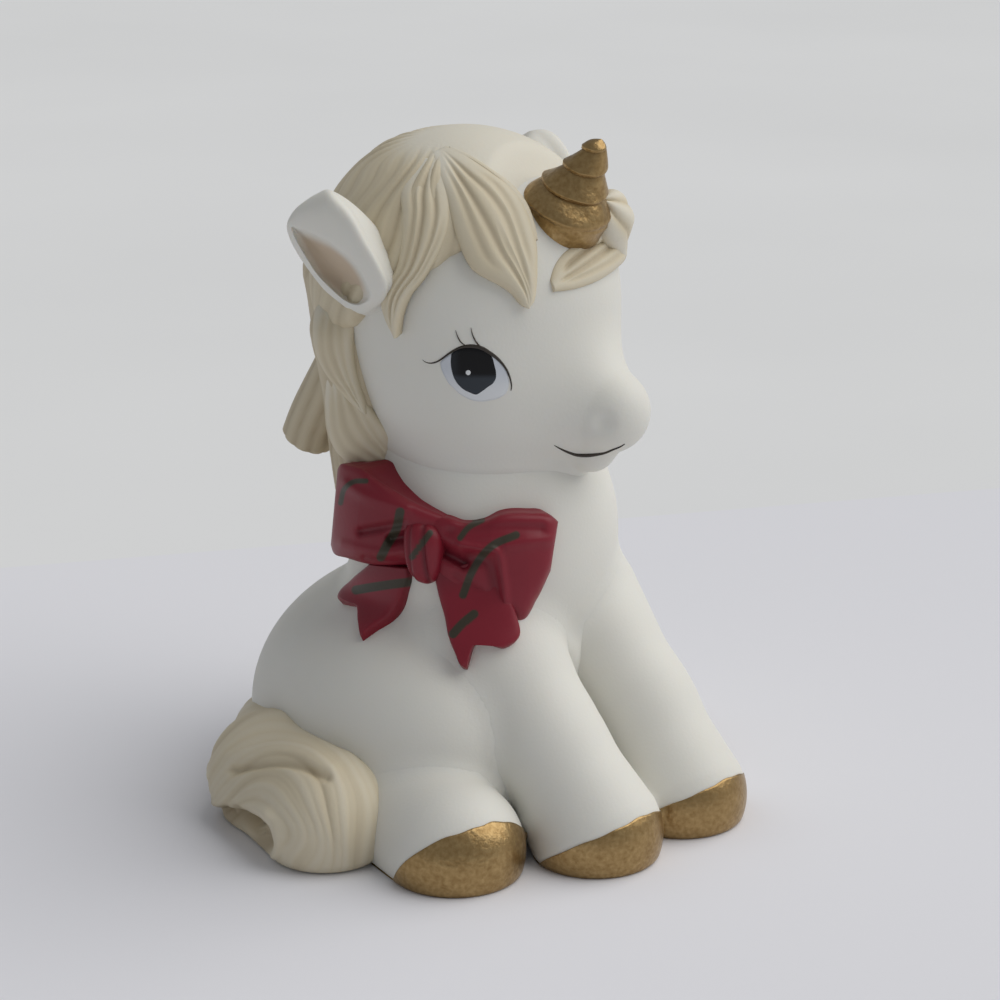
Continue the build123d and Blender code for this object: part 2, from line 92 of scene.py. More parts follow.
# Head frame
HEAD_CENTRE = spot(0, -8.5, 63.8)
HEAD_RADIUS = 18.0
HEAD_TURN = math.radians(10)
HEAD_AXES = np.array([
    [math.cos(HEAD_TURN), math.sin(HEAD_TURN), 0],
    [-math.sin(HEAD_TURN), math.cos(HEAD_TURN), 0],
    [0, 0, 1],
])


def from_head(points):
    """Places in the head's frame, as places in the model's."""
    return HEAD_CENTRE + points @ HEAD_AXES


def to_head(points):
    """Places in the model's frame, as places in the head's."""
    return (points - HEAD_CENTRE) @ HEAD_AXES.T


def other_side(points):
    """Places mirrored across the head's own middle."""
    return from_head(to_head(points) * spot(-1, 1, 1))


# Forms as distances: below zero inside, above zero outside
def oval(p, centre, radii):
    """Ellipsoid: distance from the centre in radii, less 1, scaled back to length."""
    q = (p - spot(*centre)) / spot(*radii)
    near = size_of(q)
    return near * (near - 1) / np.maximum(size_of(q / spot(*radii)), 1e-6)


def cone(p, start, end, start_radius, end_radius):
    """Round cone: distance to the line from start to end, less a radius that changes along it."""
    start, end = spot(*start), spot(*end)
    axis = end - start
    share = np.clip(((p - start) @ axis) / (axis @ axis), 0, 1)
    gap = size_of(p - start - share[..., None] * axis)
    return gap - (start_radius + (end_radius - start_radius) * share)


def melt(soft, *forms):
    """Union whose creases are filled over the width soft."""
    total = forms[0]
    for other in forms[1:]:
        near = np.maximum(soft - np.abs(total - other), 0) / soft
        total = np.minimum(total, other) - near * near * soft / 4
    return total


def cut(soft, *forms):
    """Overlap of forms, with its edges rounded over the width soft."""
    return -melt(soft, *[-form for form in forms])


def meet(mine, soft, *others):
    """A form that swells to meet its neighbours as if they were melted together, then dives
    under them: the closer the neighbour, the more is taken off the distance."""
    total = mine
    for other in others:
        ahead = mine - other
        swell = np.where(ahead < 0, np.maximum(soft + ahead, 0) ** 2 / (4 * soft),
                         (soft * soft + 2 * soft * ahead - ahead * ahead) / (4 * soft))
        total = total - np.where(ahead > soft, soft / 2, swell)
    return total


# Widths over which neighbouring forms run into each other
TORSO_MELT, THIGH_MELT, KNEE_MELT = 9.0, 4.0, 3.0
LEG_MELT, FOOT_MELT = 2.6, 2.2
LEGS_MELT, LIMBS_MELT = 1.5, 1.2      # leg to leg, and foreleg to hind foot
SKULL_MELT, CHIN_MELT, NECK_MELT = 5.0, 1.6, 2.0
HAIR_MELT, CAP_ROUND = 1.0, 2.0
MANE_MELT, NAPE_MELT, LOCK_MELT = 3.0, 1.5, 2.0
TAIL_MELT, HOLLOW_ROUND = 2.0, 0.8
BED_MELT = 5.0
FLOOR_ROUND = 0.7

# Ovals (centre, radii) and round cones (start, end, radius at each)
SEAT = (0, 2, 9), (24.5, 22, 19)
CHEST = (0, -8.5, 31), (16, 15.5, 18)
NECK = (0, -8, 38), (0, -7, 50), 14, 13
RIGHT_THIGH = (-15, -8, 11.5), (13, 18, 14.5)
LEFT_THIGH = (15, -6, 11.5), (12, 18, 14.5)
SHOULDER, SHOULDER_RADIUS = spot(8, -16, 23), 9.3
PASTERN, PASTERN_RADIUS = spot(8.6, -27, 12.5), 6.8
FORE_TOE, FORE_TOE_RADIUS = spot(8, -34.8, 3.0), 8.3
RIGHT_FOOT = (-20, -14, 4), (-23.5, -26.0, 2.9), 9.1, 8.5
LEFT_FOOT = (19, -6, 4), (20, -14, 3), 9, 8
CRANIUM = (0, 1.5, 1), (17.8, 18, 17.5)
CHEEKS = (0, -0.5, -9.5), (15.8, 15, 15)
MUZZLE = (0, -8, -8.5), (0, -18, -11.3), 8.5, 5.2
CHIN = (0, -9, -14), (0, -15.6, -16.2), 5, 3.2
MANE_BACK = (-2.3, 16.2, 1.8), (-3.2, 14.9, -25.6), 8.4, 5.3
MANE_RIGHT = (-13.0, 12.0, -2.5), (-10.6, 9.5, -24), 4.4, 3.6
MANE_LEFT = (13.0, 12.0, -2.5), (10.6, 9.5, -24), 4.4, 3.6


def trunk_form(p):
    """Seat, chest and neck, with both thighs."""
    torso = melt(TORSO_MELT, oval(p, *SEAT), oval(p, *CHEST), cone(p, *NECK))
    return melt(THIGH_MELT, torso, oval(p, *RIGHT_THIGH), oval(p, *LEFT_THIGH))


def foreleg_form(p, side):
    """A foreleg down to its hoof; side is -1 for the right one."""
    shoulder, pastern, toe = (place * spot(side, 1, 1) for place in (SHOULDER, PASTERN, FORE_TOE))
    return melt(KNEE_MELT, cone(p, shoulder, pastern, SHOULDER_RADIUS, PASTERN_RADIUS),
                cone(p, pastern, toe, PASTERN_RADIUS, FORE_TOE_RADIUS))


def foot_form(p, side):
    """A hind foot with its hoof."""
    return cone(p, *(RIGHT_FOOT if side < 0 else LEFT_FOOT))


def head_form(p):
    """Cranium and cheeks with muzzle and chin."""
    q = to_head(p)
    skull = melt(SKULL_MELT, oval(q, *CRANIUM), oval(q, *CHEEKS))
    return melt(CHIN_MELT, melt(SKULL_MELT, skull, cone(q, *MUZZLE)), cone(q, *CHIN))


HAIR_CENTRE = spot(0, 3.24, 2.52)
HAIR_RADIUS = 19.12


def hair_form(p):
    """The ball that the crown hair follows, melted over the head."""
    return melt(HAIR_MELT, size_of(to_head(p) - HAIR_CENTRE) - HAIR_RADIUS, head_form(p))


def mane_form(p):
    """Swelling of hair down the back of the neck and behind the cheeks."""
    q = to_head(p)
    return melt(MANE_MELT, cone(q, *MANE_BACK), cone(q, *MANE_RIGHT), cone(q, *MANE_LEFT))


# Finding surfaces
HALVINGS = 13
SLOPE_STEP = 0.05
SIGHT_RANGE = 320.0, 440.0    # how far from the camera the object begins and ends
SIGHT_STEPS = 160


def reach(form, origins, directions, near, far, steps=40):
    """How far along each ray the form first ends: sampled coarsely, then halved down."""
    shares = np.linspace(near, far, steps)
    places = origins[..., None, :] + directions[..., None, :] * shares[:, None]
    outside = form(places) > 0
    outside[..., -1] = True
    first = np.clip(np.argmax(outside, -1), 1, None)
    low, high = shares[first - 1], shares[first]
    for _ in range(HALVINGS):
        middle = (low + high) / 2
        out = form(origins + directions * middle[..., None]) > 0
        high = np.where(out, middle, high)
        low = np.where(out, low, middle)
    return (low + high) / 2


def slope(form, points):
    """Outward normals of a form at places on it."""
    steps = SLOPE_STEP * np.eye(3)
    return unit(np.stack([form(points + step) - form(points - step) for step in steps], -1))


def struck(form, picture):
    """Where lines of sight through points of the picture first meet a form, or come nearest."""
    aim = sight(picture)
    shares = np.linspace(*SIGHT_RANGE, SIGHT_STEPS)
    places = CAMERA_PLACE + aim[..., None, :] * shares[:, None]
    gaps = form(places)
    hit = (gaps < 0).any(-1)
    first = np.where(hit, np.argmax(gaps < 0, -1), np.argmin(gaps, -1))
    low = shares[np.clip(first - 1, 0, None)]
    high = shares[first]
    for _ in range(HALVINGS):
        middle = (low + high) / 2
        inside = form(CAMERA_PLACE + aim * middle[..., None]) < 0
        low = np.where(hit & ~inside, middle, low)
        high = np.where(hit & inside, middle, high)
    place = CAMERA_PLACE + aim * high[..., None]
    for _ in range(2):
        gap = np.where(hit, 0, form(place))
        place = place - slope(form, place) * gap[..., None]
    return place


# Meshes
def make(name, parts, material, node=True):
    """One piece at the origin from one or more closed skins in millimetres, with the numbers that
    are kept at its points; a node's piece takes the solid's place, paint has none."""
    points, faces, marks = together(parts)
    mesh = bpy.data.meshes.new(name)
    mesh.from_pydata(points * MM, [], faces)
    mesh.validate()
    mesh.shade_smooth()
    for mark, values in marks.items():
        layer = mesh.attributes.new(mark, "FLOAT", "POINT")
        layer.data.foreach_set("value", np.asarray(values, dtype=np.float32).ravel())
    mesh.materials.append(material)
    piece = bpy.data.objects.new(name, mesh)
    bpy.context.scene.collection.objects.link(piece)
    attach(piece, "root")
    if node:
        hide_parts(name)


def closed(grid, marks=None):
    """A closed skin from rows of places that go round: neighbouring rows are joined by
    four-sided faces, and the first and last rows shrink to one point each."""
    rows, columns = grid.shape[:2]
    points = np.concatenate([grid[:1].mean(1), grid[1:-1].reshape(-1, 3), grid[-1:].mean(1)])
    inner = rows - 2
    index = 1 + np.arange(inner * columns).reshape(inner, columns)
    after = np.roll(index, -1, 1)
    quads = np.stack([index[:-1], after[:-1], after[1:], index[1:]], -1).reshape(-1, 4)
    top = np.stack([np.zeros(columns, int), after[0], index[0]], -1)
    last = len(points) - 1
    bottom = np.stack([np.full(columns, last), index[-1], after[-1]], -1)
    kept = {}
    for mark, values in (marks or {}).items():
        kept[mark] = np.concatenate([values[:1].mean(1), values[1:-1].ravel(), values[-1:].mean(1)])
    a, b, c, d = points[quads.T]
    volume = (np.cross(b - a, c - a) * a).sum() + (np.cross(c - a, d - a) * a).sum()
    faces = quads.tolist() + top.tolist() + bottom.tolist()
    if volume < 0:
        faces = [face[::-1] for face in faces]
    return points, faces, kept


def together(parts):
    """Several closed skins as one."""
    points, faces, marks = [], [], {}
    before = 0
    for part_points, part_faces, part_marks in parts:
        points.append(part_points)
        faces += [[corner + before for corner in face] for face in part_faces]
        for mark, values in part_marks.items():
            marks.setdefault(mark, []).append(values)
        before += len(part_points)
    return np.concatenate(points), faces, {m: np.concatenate(v) for m, v in marks.items()}


def turned_over(part):
    """A skin mirrored to the other side of the head."""
    points, faces, marks = part
    return other_side(points), [face[::-1] for face in faces], marks


def axis_rays(start, end, rows, columns, cap_share):
    """Rays that leave a straight axis: fanned out from a pole at each end, square to it between.
    Rows run along the axis and columns go round it."""
    start, end = spot(*start), spot(*end)
    heading = unit(end - start)
    across = unit(np.cross(np.cross(heading, spot(1, 0, 0)), heading))
    over = np.cross(heading, across)
    u = np.linspace(0, 1, rows)
    tilt = np.clip(u / cap_share, 0, 1) - 1 + np.clip((u - 1 + cap_share) / cap_share, 0, 1)
    tilt = tilt * math.pi / 2
    along = np.clip((u - cap_share) / (1 - 2 * cap_share), 0, 1)
    turn = np.linspace(0, 2 * math.pi, columns, endpoint=False)
    ring = np.cos(turn)[:, None] * across + np.sin(turn)[:, None] * over
    directions = (np.cos(tilt)[:, None, None] * ring[None]
                  + np.sin(tilt)[:, None, None] * heading)
    origins = (start + along[:, None] * (end - start))[:, None, :] + np.zeros_like(directions)
    return origins, directions


def solved(form, core, net):
    """Surface of a form, found along rays from a straight core inside it; a net is its rows and
    columns, how far the surface can be from the core, and the share of the rows at each pole."""
    start, end = core
    rows, columns, far, cap_share = net
    origins, directions = axis_rays(start, end, count(rows), count(columns), cap_share)
    distance = reach(form, origins, directions, 0.05, far)
    return origins + directions * distance[..., None]


def smooth(values, low=0.0, high=1.0):
    """Smooth step from 0 at low to 1 at high."""
    t = np.clip((values - low) / (high - low), 0, 1)
    return t * t * (3 - 2 * t)


def drawn(points, rows):
    """A smooth line through a few points, divided evenly: cubic segments whose slopes follow
    the neighbouring points."""
    points = np.array(points, dtype=float)
    span = np.concatenate([[0], np.cumsum(size_of(np.diff(points, axis=0)))])
    slopes = np.gradient(points, span, axis=0)
    where = np.linspace(0, span[-1], rows)
    left = np.clip(np.searchsorted(span, where, side="right") - 1, 0, len(span) - 2)
    gap = (span[left + 1] - span[left])[:, None]
    t = (where - span[left])[:, None] / gap
    a, b = points[left], points[left + 1]
    return ((2 * t**3 - 3 * t**2 + 1) * a + (t**3 - 2 * t**2 + t) * gap * slopes[left]
            + (3 * t**2 - 2 * t**3) * b + (t**3 - t**2) * gap * slopes[left + 1])


def ring_through(points, columns):
    """A smooth closed line through points, with as many divisions between each two of them."""
    points = np.array(points, dtype=float)
    where = np.arange(columns) * len(points) / columns
    left = where.astype(int)
    t = (where - left)[:, None]
    a, b, c, d = (points[(left + step) % len(points)] for step in (-1, 0, 1, 2))
    return 0.5 * (2 * b + (c - a) * t + (2 * a - 5 * b + 4 * c - d) * t**2
                  + (3 * b - a - 3 * c + d) * t**3)


def near_lines(flat, lines):
    """Sum of soft ridges and grooves drawn in the picture: each line has a half width and a
    height that falls off from it as a bell."""
    total = np.zeros(flat.shape[:-1])
    for line, half, high in lines:
        path = drawn(line, 40)
        gap = ((flat[..., None, :] - path) ** 2).sum(-1).min(-1)
        total = total + high * np.exp(-gap / half**2)
    return total


def lie(form, line, rows):
    """A line drawn in the picture laid on a form, with the form's normals."""
    path = struck(form, drawn(line, rows))
    return path, slope(form, path)


def ridge(phase, sharp):
    """Rounded crests with sharp grooves between them, one for each whole step of phase."""
    return np.abs(np.sin(math.pi * phase)) ** sharp


def framed(path, normals):
    """Directions across a path on a surface and away from the surface, row by row."""
    along = unit(np.gradient(path, axis=0))
    across = unit(np.cross(normals, along))
    return across[:, None], np.cross(along, across)[:, None]


def strand(path, normals, half_width, half_height, sink, round_columns, ends=1.0):
    """A flattened tube along a path that lies on a surface: an ellipse across the path,
    wide along the surface and low away from it, shrinking to a point at both ends."""
    rows = len(path)
    across, up = framed(path, normals)
    u = np.linspace(0, 1, rows)
    taper = np.clip(np.sin(math.pi * np.clip(u, 0.001, 0.999)), 0, 1) ** (0.5 * ends)
    width = (half_width * taper)[:, None]
    height = (half_height * taper)[:, None]
    turn = np.linspace(0, 2 * math.pi, round_columns, endpoint=False)
    grid = (path[:, None] - up * sink + across * (width * np.cos(turn))[..., None]
            + up * (height * np.sin(turn))[..., None])
    crest = np.broadcast_to(np.sin(turn), (rows, round_columns))
    return closed(grid, {"wash_and_shade": 0.95 - 0.75 * smooth(crest, 0.2, 1.0)})


def net_between(left, right, rows, columns):
    """Shares along and across, and the points of the picture, of a net between two drawn lines."""
    s = np.linspace(0, 1, rows)
    t = np.linspace(-1, 1, columns)
    a, b = drawn(left, rows), drawn(right, rows)
    return s, t, a[:, None] + (b - a)[:, None] * ((t + 1) / 2)[None, :, None]


LEAF_SINK = 0.8


def leaf(form, left, right, rows, columns, rise, wash_and_shade):
    """A leaf that lies on a form between a left and a right edge drawn in the picture: its upper
    side stands rise(s, t) off the form, its underside is sunk in it, s runs from root to tip
    and t from edge to edge."""
    s, t, flat = net_between(left, right, count(rows), count(columns))
    ground = struck(form, flat)
    normal = slope(form, ground)
    ss, tt = np.meshgrid(s, t, indexing="ij")
    upper = ground + normal * rise(ss, tt)[..., None]
    lower = (ground - normal * LEAF_SINK)[:, ::-1]
    grid = np.concatenate([upper, lower], 1)
    tone = wash_and_shade(ss, tt)
    marks = np.concatenate([tone, tone[:, ::-1]], 1)
    first, last = (np.repeat(row.mean(1)[:, None], grid.shape[1], 1) for row in (grid[:1], grid[-1:]))
    return closed(np.concatenate([first, grid, last]),
                  {"wash_and_shade": np.concatenate([marks[:1], marks, marks[-1:]])})


# Shader groups and materials
def new_group(name, inputs, outputs):
    """A node group with named sockets, as its tree and its two end nodes."""
    tree = bpy.data.node_groups.new(name, "ShaderNodeTree")
    for label, kind, value in inputs:
        socket = tree.interface.new_socket(label, in_out="INPUT", socket_type=kind)
        if value is not None:
            socket.default_value = value
    for label, kind in outputs:
        tree.interface.new_socket(label, in_out="OUTPUT", socket_type=kind)
    return tree, tree.nodes.new("NodeGroupInput"), tree.nodes.new("NodeGroupOutput")


def add_node(tree, kind, **settings):
    """A node with its settings."""
    node = tree.nodes.new(kind)
    for label, value in settings.items():
        setattr(node, label, value)
    return node


def fill(node, values):
    """Fixed values for a node's inputs."""
    for label, value in values.items():
        node.inputs[label].default_value = value


def grain_group():
    """Fired clay: broad cloudiness in its tone, fine tooth in its height, and a few specks."""
    tree, given, result = new_group("bisque grain", [
        ("Scale", "NodeSocketFloat", 260.0),
        ("Cloud", "NodeSocketFloat", 0.35),
    ], [("Tone", "NodeSocketFloat"), ("Height", "NodeSocketFloat"), ("Speck", "NodeSocketFloat")])
    link = tree.links.new
    place = add_node(tree, "ShaderNodeTexCoord")
    broad = add_node(tree, "ShaderNodeTexNoise")
    fill(broad, {"Scale": 70, "Detail": 3})
    fine = add_node(tree, "ShaderNodeTexNoise")
    fill(fine, {"Detail": 4})
    dots = add_node(tree, "ShaderNodeTexVoronoi")
    fill(dots, {"Scale": 150})
    near = add_node(tree, "ShaderNodeMapRange")
    fill(near, {"From Min": 0.035, "From Max": 0.0})
    chosen = add_node(tree, "ShaderNodeSeparateColor")
    rare = add_node(tree, "ShaderNodeMath", operation="GREATER_THAN")
    rare.inputs[1].default_value = 0.93
    both = add_node(tree, "ShaderNodeMath", operation="MULTIPLY")
    for texture in (broad, fine, dots):
        link(place.outputs["Object"], texture.inputs["Vector"])
    link(given.outputs["Scale"], fine.inputs["Scale"])
    spread = add_node(tree, "ShaderNodeMath", operation="MULTIPLY")
    link(broad.outputs["Fac"], spread.inputs[0])
    link(given.outputs["Cloud"], spread.inputs[1])
    link(spread.outputs[0], result.inputs["Tone"])
    link(fine.outputs["Fac"], result.inputs["Height"])
    link(dots.outputs["Distance"], near.inputs["Value"])
    link(dots.outputs["Color"], chosen.inputs["Color"])
    link(chosen.outputs["Red"], rare.inputs[0])
    link(near.outputs["Result"], both.inputs[0])
    link(rare.outputs[0], both.inputs[1])
    link(both.outputs[0], result.inputs["Speck"])
    return tree


def new_material(name):
    """A material with its Principled shader."""
    material = bpy.data.materials.new(name)
    material.use_nodes = True
    shader = material.node_tree.nodes["Principled BSDF"]
    return material, material.node_tree, shader


def colour_mix(tree, share, first, second):
    """Colours mixed by a socket; either may be a socket or a fixed colour."""
    node = add_node(tree, "ShaderNodeMix", data_type="RGBA")
    tree.links.new(share, node.inputs["Factor"])
    for label, value in (("A", first), ("B", second)):
        socket = [s for s in node.inputs if s.name == label and s.type == "RGBA"][0]
        if isinstance(value, tuple):
            socket.default_value = (*value, 1)
        else:
            tree.links.new(value, socket)
    return [s for s in node.outputs if s.type == "RGBA"][0]


GRAIN = grain_group()


def grained(name, scale, depth, cloud):
    """A new material with the clay grain placed in it, and its height as a bump."""
    material, tree, shader = new_material(name)
    grain = add_node(tree, "ShaderNodeGroup", node_tree=GRAIN)
    fill(grain, {"Scale": scale, "Cloud": cloud})
    bump = add_node(tree, "ShaderNodeBump")
    fill(bump, {"Strength": depth, "Distance": 0.0002})
    tree.links.new(grain.outputs["Height"], bump.inputs["Height"])
    tree.links.new(bump.outputs["Normal"], shader.inputs["Normal"])
    return material, tree, shader, grain.outputs


def mark_of(tree, name):
    """The number kept at a mesh's points under a name."""
    return add_node(tree, "ShaderNodeAttribute", attribute_name=name).outputs["Fac"]


def ranged(tree, value, **limits):
    """A socket's value mapped from one range to another."""
    node = add_node(tree, "ShaderNodeMapRange")
    fill(node, {label.replace("_", " "): limit for label, limit in limits.items()})
    tree.links.new(value, node.inputs["Value"])
    return node.outputs["Result"]


def finished(material, tree, shader, colour, **settings):
    """A material whose colour comes from a socket, with the shader's other settings."""
    tree.links.new(colour, shader.inputs["Base Color"])
    fill(shader, {label.replace("_", " "): value for label, value in settings.items()})
    return material


# Colours, each with the one that clouds it, then those of its specks, wash and grooves
CLAY, CLAY_CLOUD, CLAY_SPECK = (0.765, 0.755, 0.70), (0.71, 0.695, 0.63), (0.25, 0.22, 0.18)
EAR_WASH = (0.60, 0.49, 0.37)
HAIR_WASH, HAIR_CLOUD, HAIR_SPECK = (0.67, 0.595, 0.44), (0.60, 0.52, 0.365), (0.22, 0.17, 0.12)
HAIR_BARE, HAIR_GROOVE = (0.75, 0.72, 0.625), (0.43, 0.345, 0.22)
GOLD_DULL, GOLD_BRIGHT, GOLD_CLOUD = (0.24, 0.145, 0.052), (0.56, 0.40, 0.19), (0.33, 0.21, 0.085)
# the last red is painted shade, laid in the bow's folds and pleats
RED, RED_CLOUD, RED_FOLD_SHADE = (0.265, 0.014, 0.030), (0.18, 0.009, 0.019), (0.085, 0.006, 0.012)
STRIPE_GREEN = (0.045, 0.038, 0.024)
SHEET, SHEET_CLOUD = (0.79, 0.79, 0.83), (0.82, 0.82, 0.855)
CLOTH, CLOTH_CLOUD = (0.77, 0.775, 0.775), (0.85, 0.855, 0.855)
SKY_COLOUR = (0.92, 0.95, 1.0, 1)
SUN_COLOUR = (1.0, 0.985, 0.96)
CLAY_DEPTH = (0.0012, 0.0009, 0.0006)
WASH_TURN = 0.4               # below it the wash is thin, above it pooled


def bisque_material(name, washed=False):
    """Warm white unglazed porcelain: speckled, or with a brown wash in an ear's hollow."""
    material, tree, shader, grain = grained(name, 2600.0, 0.12, 0.9)
    body = colour_mix(tree, grain["Tone"], CLAY, CLAY_CLOUD)
    if washed:
        colour = colour_mix(tree, mark_of(tree, "wash_and_shade"), body, EAR_WASH)
    else:
        colour = colour_mix(tree, grain["Speck"], body, CLAY_SPECK)
    return finished(material, tree, shader, colour, Roughness=0.58, Subsurface_Weight=0.12,
                    Subsurface_Radius=CLAY_DEPTH, Subsurface_Scale=1.0)


def hair_material():
    """Porcelain with a beige wash that lies in the grooves between strands."""
    material, tree, shader, grain = grained("washed hair", 2200.0, 0.15, 0.8)
    wash_and_shade = mark_of(tree, "wash_and_shade")
    thin = ranged(tree, wash_and_shade, From_Max=WASH_TURN)
    pooled = ranged(tree, wash_and_shade, From_Min=WASH_TURN)
    patch = colour_mix(tree, grain["Tone"], HAIR_WASH, HAIR_CLOUD)
    light = colour_mix(tree, thin, HAIR_BARE, patch)
    tinted = colour_mix(tree, pooled, light, HAIR_GROOVE)
    spotted = colour_mix(tree, grain["Speck"], tinted, HAIR_SPECK)
    return finished(material, tree, shader, spotted, Roughness=0.6, Subsurface_Weight=0.08,
                    Subsurface_Radius=CLAY_DEPTH, Subsurface_Scale=1.0)


def gilding_material():
    """Bronze gold brushed on thinly: grainy, with duller and brighter patches."""
    material, tree, shader, grain = grained("bronze gilding", 1700.0, 0.35, 1.0)
    shine = ranged(tree, grain["Height"], From_Min=0.25, From_Max=0.75)
    flake = colour_mix(tree, shine, GOLD_DULL, GOLD_BRIGHT)
    cloudy = colour_mix(tree, grain["Tone"], flake, GOLD_CLOUD)
    rough = ranged(tree, grain["Height"], To_Min=0.40, To_Max=0.24)
    tree.links.new(rough, shader.inputs["Roughness"])
    return finished(material, tree, shader, cloudy, Metallic=0.85)


def bow_material():
    """Satin crimson enamel with painted shade darkening its folds and pleats, and dark green brush
    strokes.
    """
    material, tree, shader, grain = grained("crimson enamel", 1500.0, 0.10, 1.2)
    enamel = colour_mix(tree, grain["Tone"], RED, RED_CLOUD)
    # painted shade: the mark darkens the enamel in folds, pleats and near the knot
    deep = colour_mix(tree, mark_of(tree, "wash_and_shade"), enamel, RED_FOLD_SHADE)
    painted = colour_mix(tree, mark_of(tree, "stripe"), deep, STRIPE_GREEN)
    return finished(material, tree, shader, painted, Roughness=0.42, Specular_IOR_Level=0.35)


def paint_material(name, colour, second, roughness, shine=0.5):
    """Glossy enamel for eyes, lashes and mouth, shaded from one colour to another by a mark."""
    material, tree, shader, grain = grained(name, 3000.0, 0.03, 1.0)
    base = colour_mix(tree, mark_of(tree, "wash_and_shade"), colour, second)
    cloudy = colour_mix(tree, grain["Speck"], base, second)
    return finished(material, tree, shader, cloudy, Roughness=roughness, Specular_IOR_Level=shine)


BISQUE = bisque_material("bisque porcelain")
EAR = bisque_material("bisque ear", washed=True)
HAIR = hair_material()
GILDING = gilding_material()
CRIMSON = bow_material()
EYE_WHITE = paint_material("eye white", (0.56, 0.59, 0.64), (0.70, 0.72, 0.74), 0.35)
IRIS = paint_material("iris", (0.003, 0.003, 0.004), (0.035, 0.042, 0.052), 0.22, 0.2)
LASH = paint_material("lash brown", (0.020, 0.014, 0.008), (0.045, 0.032, 0.020), 0.45)
# painted highlight: a small pale patch on each iris stands for the eye's glint
GLINT_HIGHLIGHT = paint_material("painted_glint", (0.72, 0.74, 0.76), (0.60, 0.62, 0.64), 0.3)

# Body, legs and hooves
BODY_CORE, BODY_NET = ((0, 9, 8), (0, -8, 44)), (200, 240, 48, 0.28)
LEG_CORE, LEG_NET = (spot(8, -15, 22), spot(8, -34, 4.5)), (130, 130, 26, 0.3)
FOOT_CORE = {"right": ((-20, -14, 4.5), (-23.3, -25.0, 3.8)), "left": ((18, -6, 4.5), (20, -13, 4))}
FOOT_NET = 110, 130, 24, 0.3
VENT_PLACE = spot(0, 9)
VENT_RADIUS = 1.8
VENT_DEPTH = 2.6
SIDES = (("right", -1), ("left", 1))


def above_floor(p, form):
    """A form cut flat at the floor with a slightly rounded edge."""
    return cut(FLOOR_ROUND, form, -p[..., 2])


def body_skin(p):
    """Trunk melted into its legs and feet, cut at the floor and bored by the vent."""
    trunk = meet(trunk_form(p), LEG_MELT, foreleg_form(p, -1), foreleg_form(p, 1))
    trunk = meet(trunk, FOOT_MELT, foot_form(p, -1), foot_form(p, 1))
    vent = np.maximum(size_of(p[..., :2] - VENT_PLACE) - VENT_RADIUS, p[..., 2] - VENT_DEPTH)
    return np.maximum(above_floor(p, trunk), -vent)


make("body_shell", [closed(solved(body_skin, BODY_CORE, BODY_NET))], BISQUE)

FORE_MIDDLE = spot(8.1, -36, 0)
FORE_CORONET = spot(8.2, -35, 2.0)
FORE_TILT = math.radians(56)
HIND_TILT = math.radians(42)
HIND_TURN = math.radians(16)
GILD_RISE = 0.14
HOOF_COLUMNS, HOOF_ROWS = 190, 46
HOOF_LOW, HOOF_TOP = 0.05, 12.0       # heights that the coronet keeps between
HOOF_STEPS = 30
NICKED_ABOVE = 0.6            # the paint's edge is uneven above this height
GILD_DEPTH = 1.2
HOOF_WIDTH = 14.0             # no wall is further from the hoof's middle


def coronet(p, place, side, turn, tilt):
    """Distance behind the slanting plane where a hoof begins."""
    normal = spot(math.sin(turn) * math.cos(tilt) * side, -math.cos(turn) * math.cos(tilt),
                  -math.sin(tilt))
    return -((p - place * spot(side, 1, 1)) @ normal)


def hoof_part(skin, middle, place, side, turn, tilt):
    """Gilt end of a foot: level rays from an upright line through the hoof find its wall at each
    height, the wall ends where it meets the coronet's plane, and it closes under and inside."""
    angle = np.linspace(0, 2 * math.pi, HOOF_COLUMNS, endpoint=False)
    aim = np.stack([np.cos(angle), np.sin(angle), np.zeros(HOOF_COLUMNS)], -1)

    def wall(height):
        origins = np.stack([np.full(height.shape, middle[0]), np.full(height.shape, middle[1]),
                            height], -1)
        directions = np.broadcast_to(aim, origins.shape)
        distance = reach(lambda p: skin(p) - GILD_RISE, origins, directions, 0.2, HOOF_WIDTH,
                         HOOF_STEPS)
        return origins + directions * distance[..., None]

    low, high = np.full(HOOF_COLUMNS, HOOF_LOW), np.full(HOOF_COLUMNS, HOOF_TOP)
    for _ in range(HALVINGS + 1):
        level = (low + high) / 2
        above = coronet(wall(level), place, side, turn, tilt) > 0
        high = np.where(above, level, high)
        low = np.where(above, low, level)
    nick = 0.12 * np.sin(4 * angle + 1.3) + 0.05 * np.sin(11 * angle + 0.4)
    crown = np.maximum((low + high) / 2 + nick * (low > NICKED_ABOVE), HOOF_LOW + 0.01)
    share = np.linspace(0, 1, HOOF_ROWS) ** 1.3
    sides = wall(crown[None] * share[:, None])
    rim = sides[-1:]
    core = np.concatenate([np.broadcast_to(middle[:2], rim[..., :2].shape),
                           rim[..., 2:] - GILD_DEPTH], -1)
    inside = rim + (core - rim) * np.array([0.04, 0.5, 1.0])[:, None, None]
    base = sides[:1] * spot(1, 1, 0)
    centre = np.broadcast_to(spot(middle[0], middle[1], 0), base.shape)
    under = centre + (base - centre) * np.array([0.0, 0.6, 0.97])[:, None, None]
    return closed(np.concatenate([under, sides, inside]))


for name, side in SIDES:
    def leg_skin(p):
        """Foreleg melted into the trunk and its fellow."""
        mine = meet(foreleg_form(p, side), LEG_MELT, trunk_form(p))
        mine = meet(mine, LEGS_MELT, foreleg_form(p, -side))
        return above_floor(p, meet(mine, LIMBS_MELT, foot_form(p, side)))

    leg_grid = solved(leg_skin, [place * spot(side, 1, 1) for place in LEG_CORE], LEG_NET)
    make(f"{name}_foreleg", [closed(leg_grid)], BISQUE)
    make(f"{name}_fore_hoof", [hoof_part(leg_skin, FORE_MIDDLE * spot(side, 1, 1), FORE_CORONET,
                                         side, 0, FORE_TILT)], GILDING)

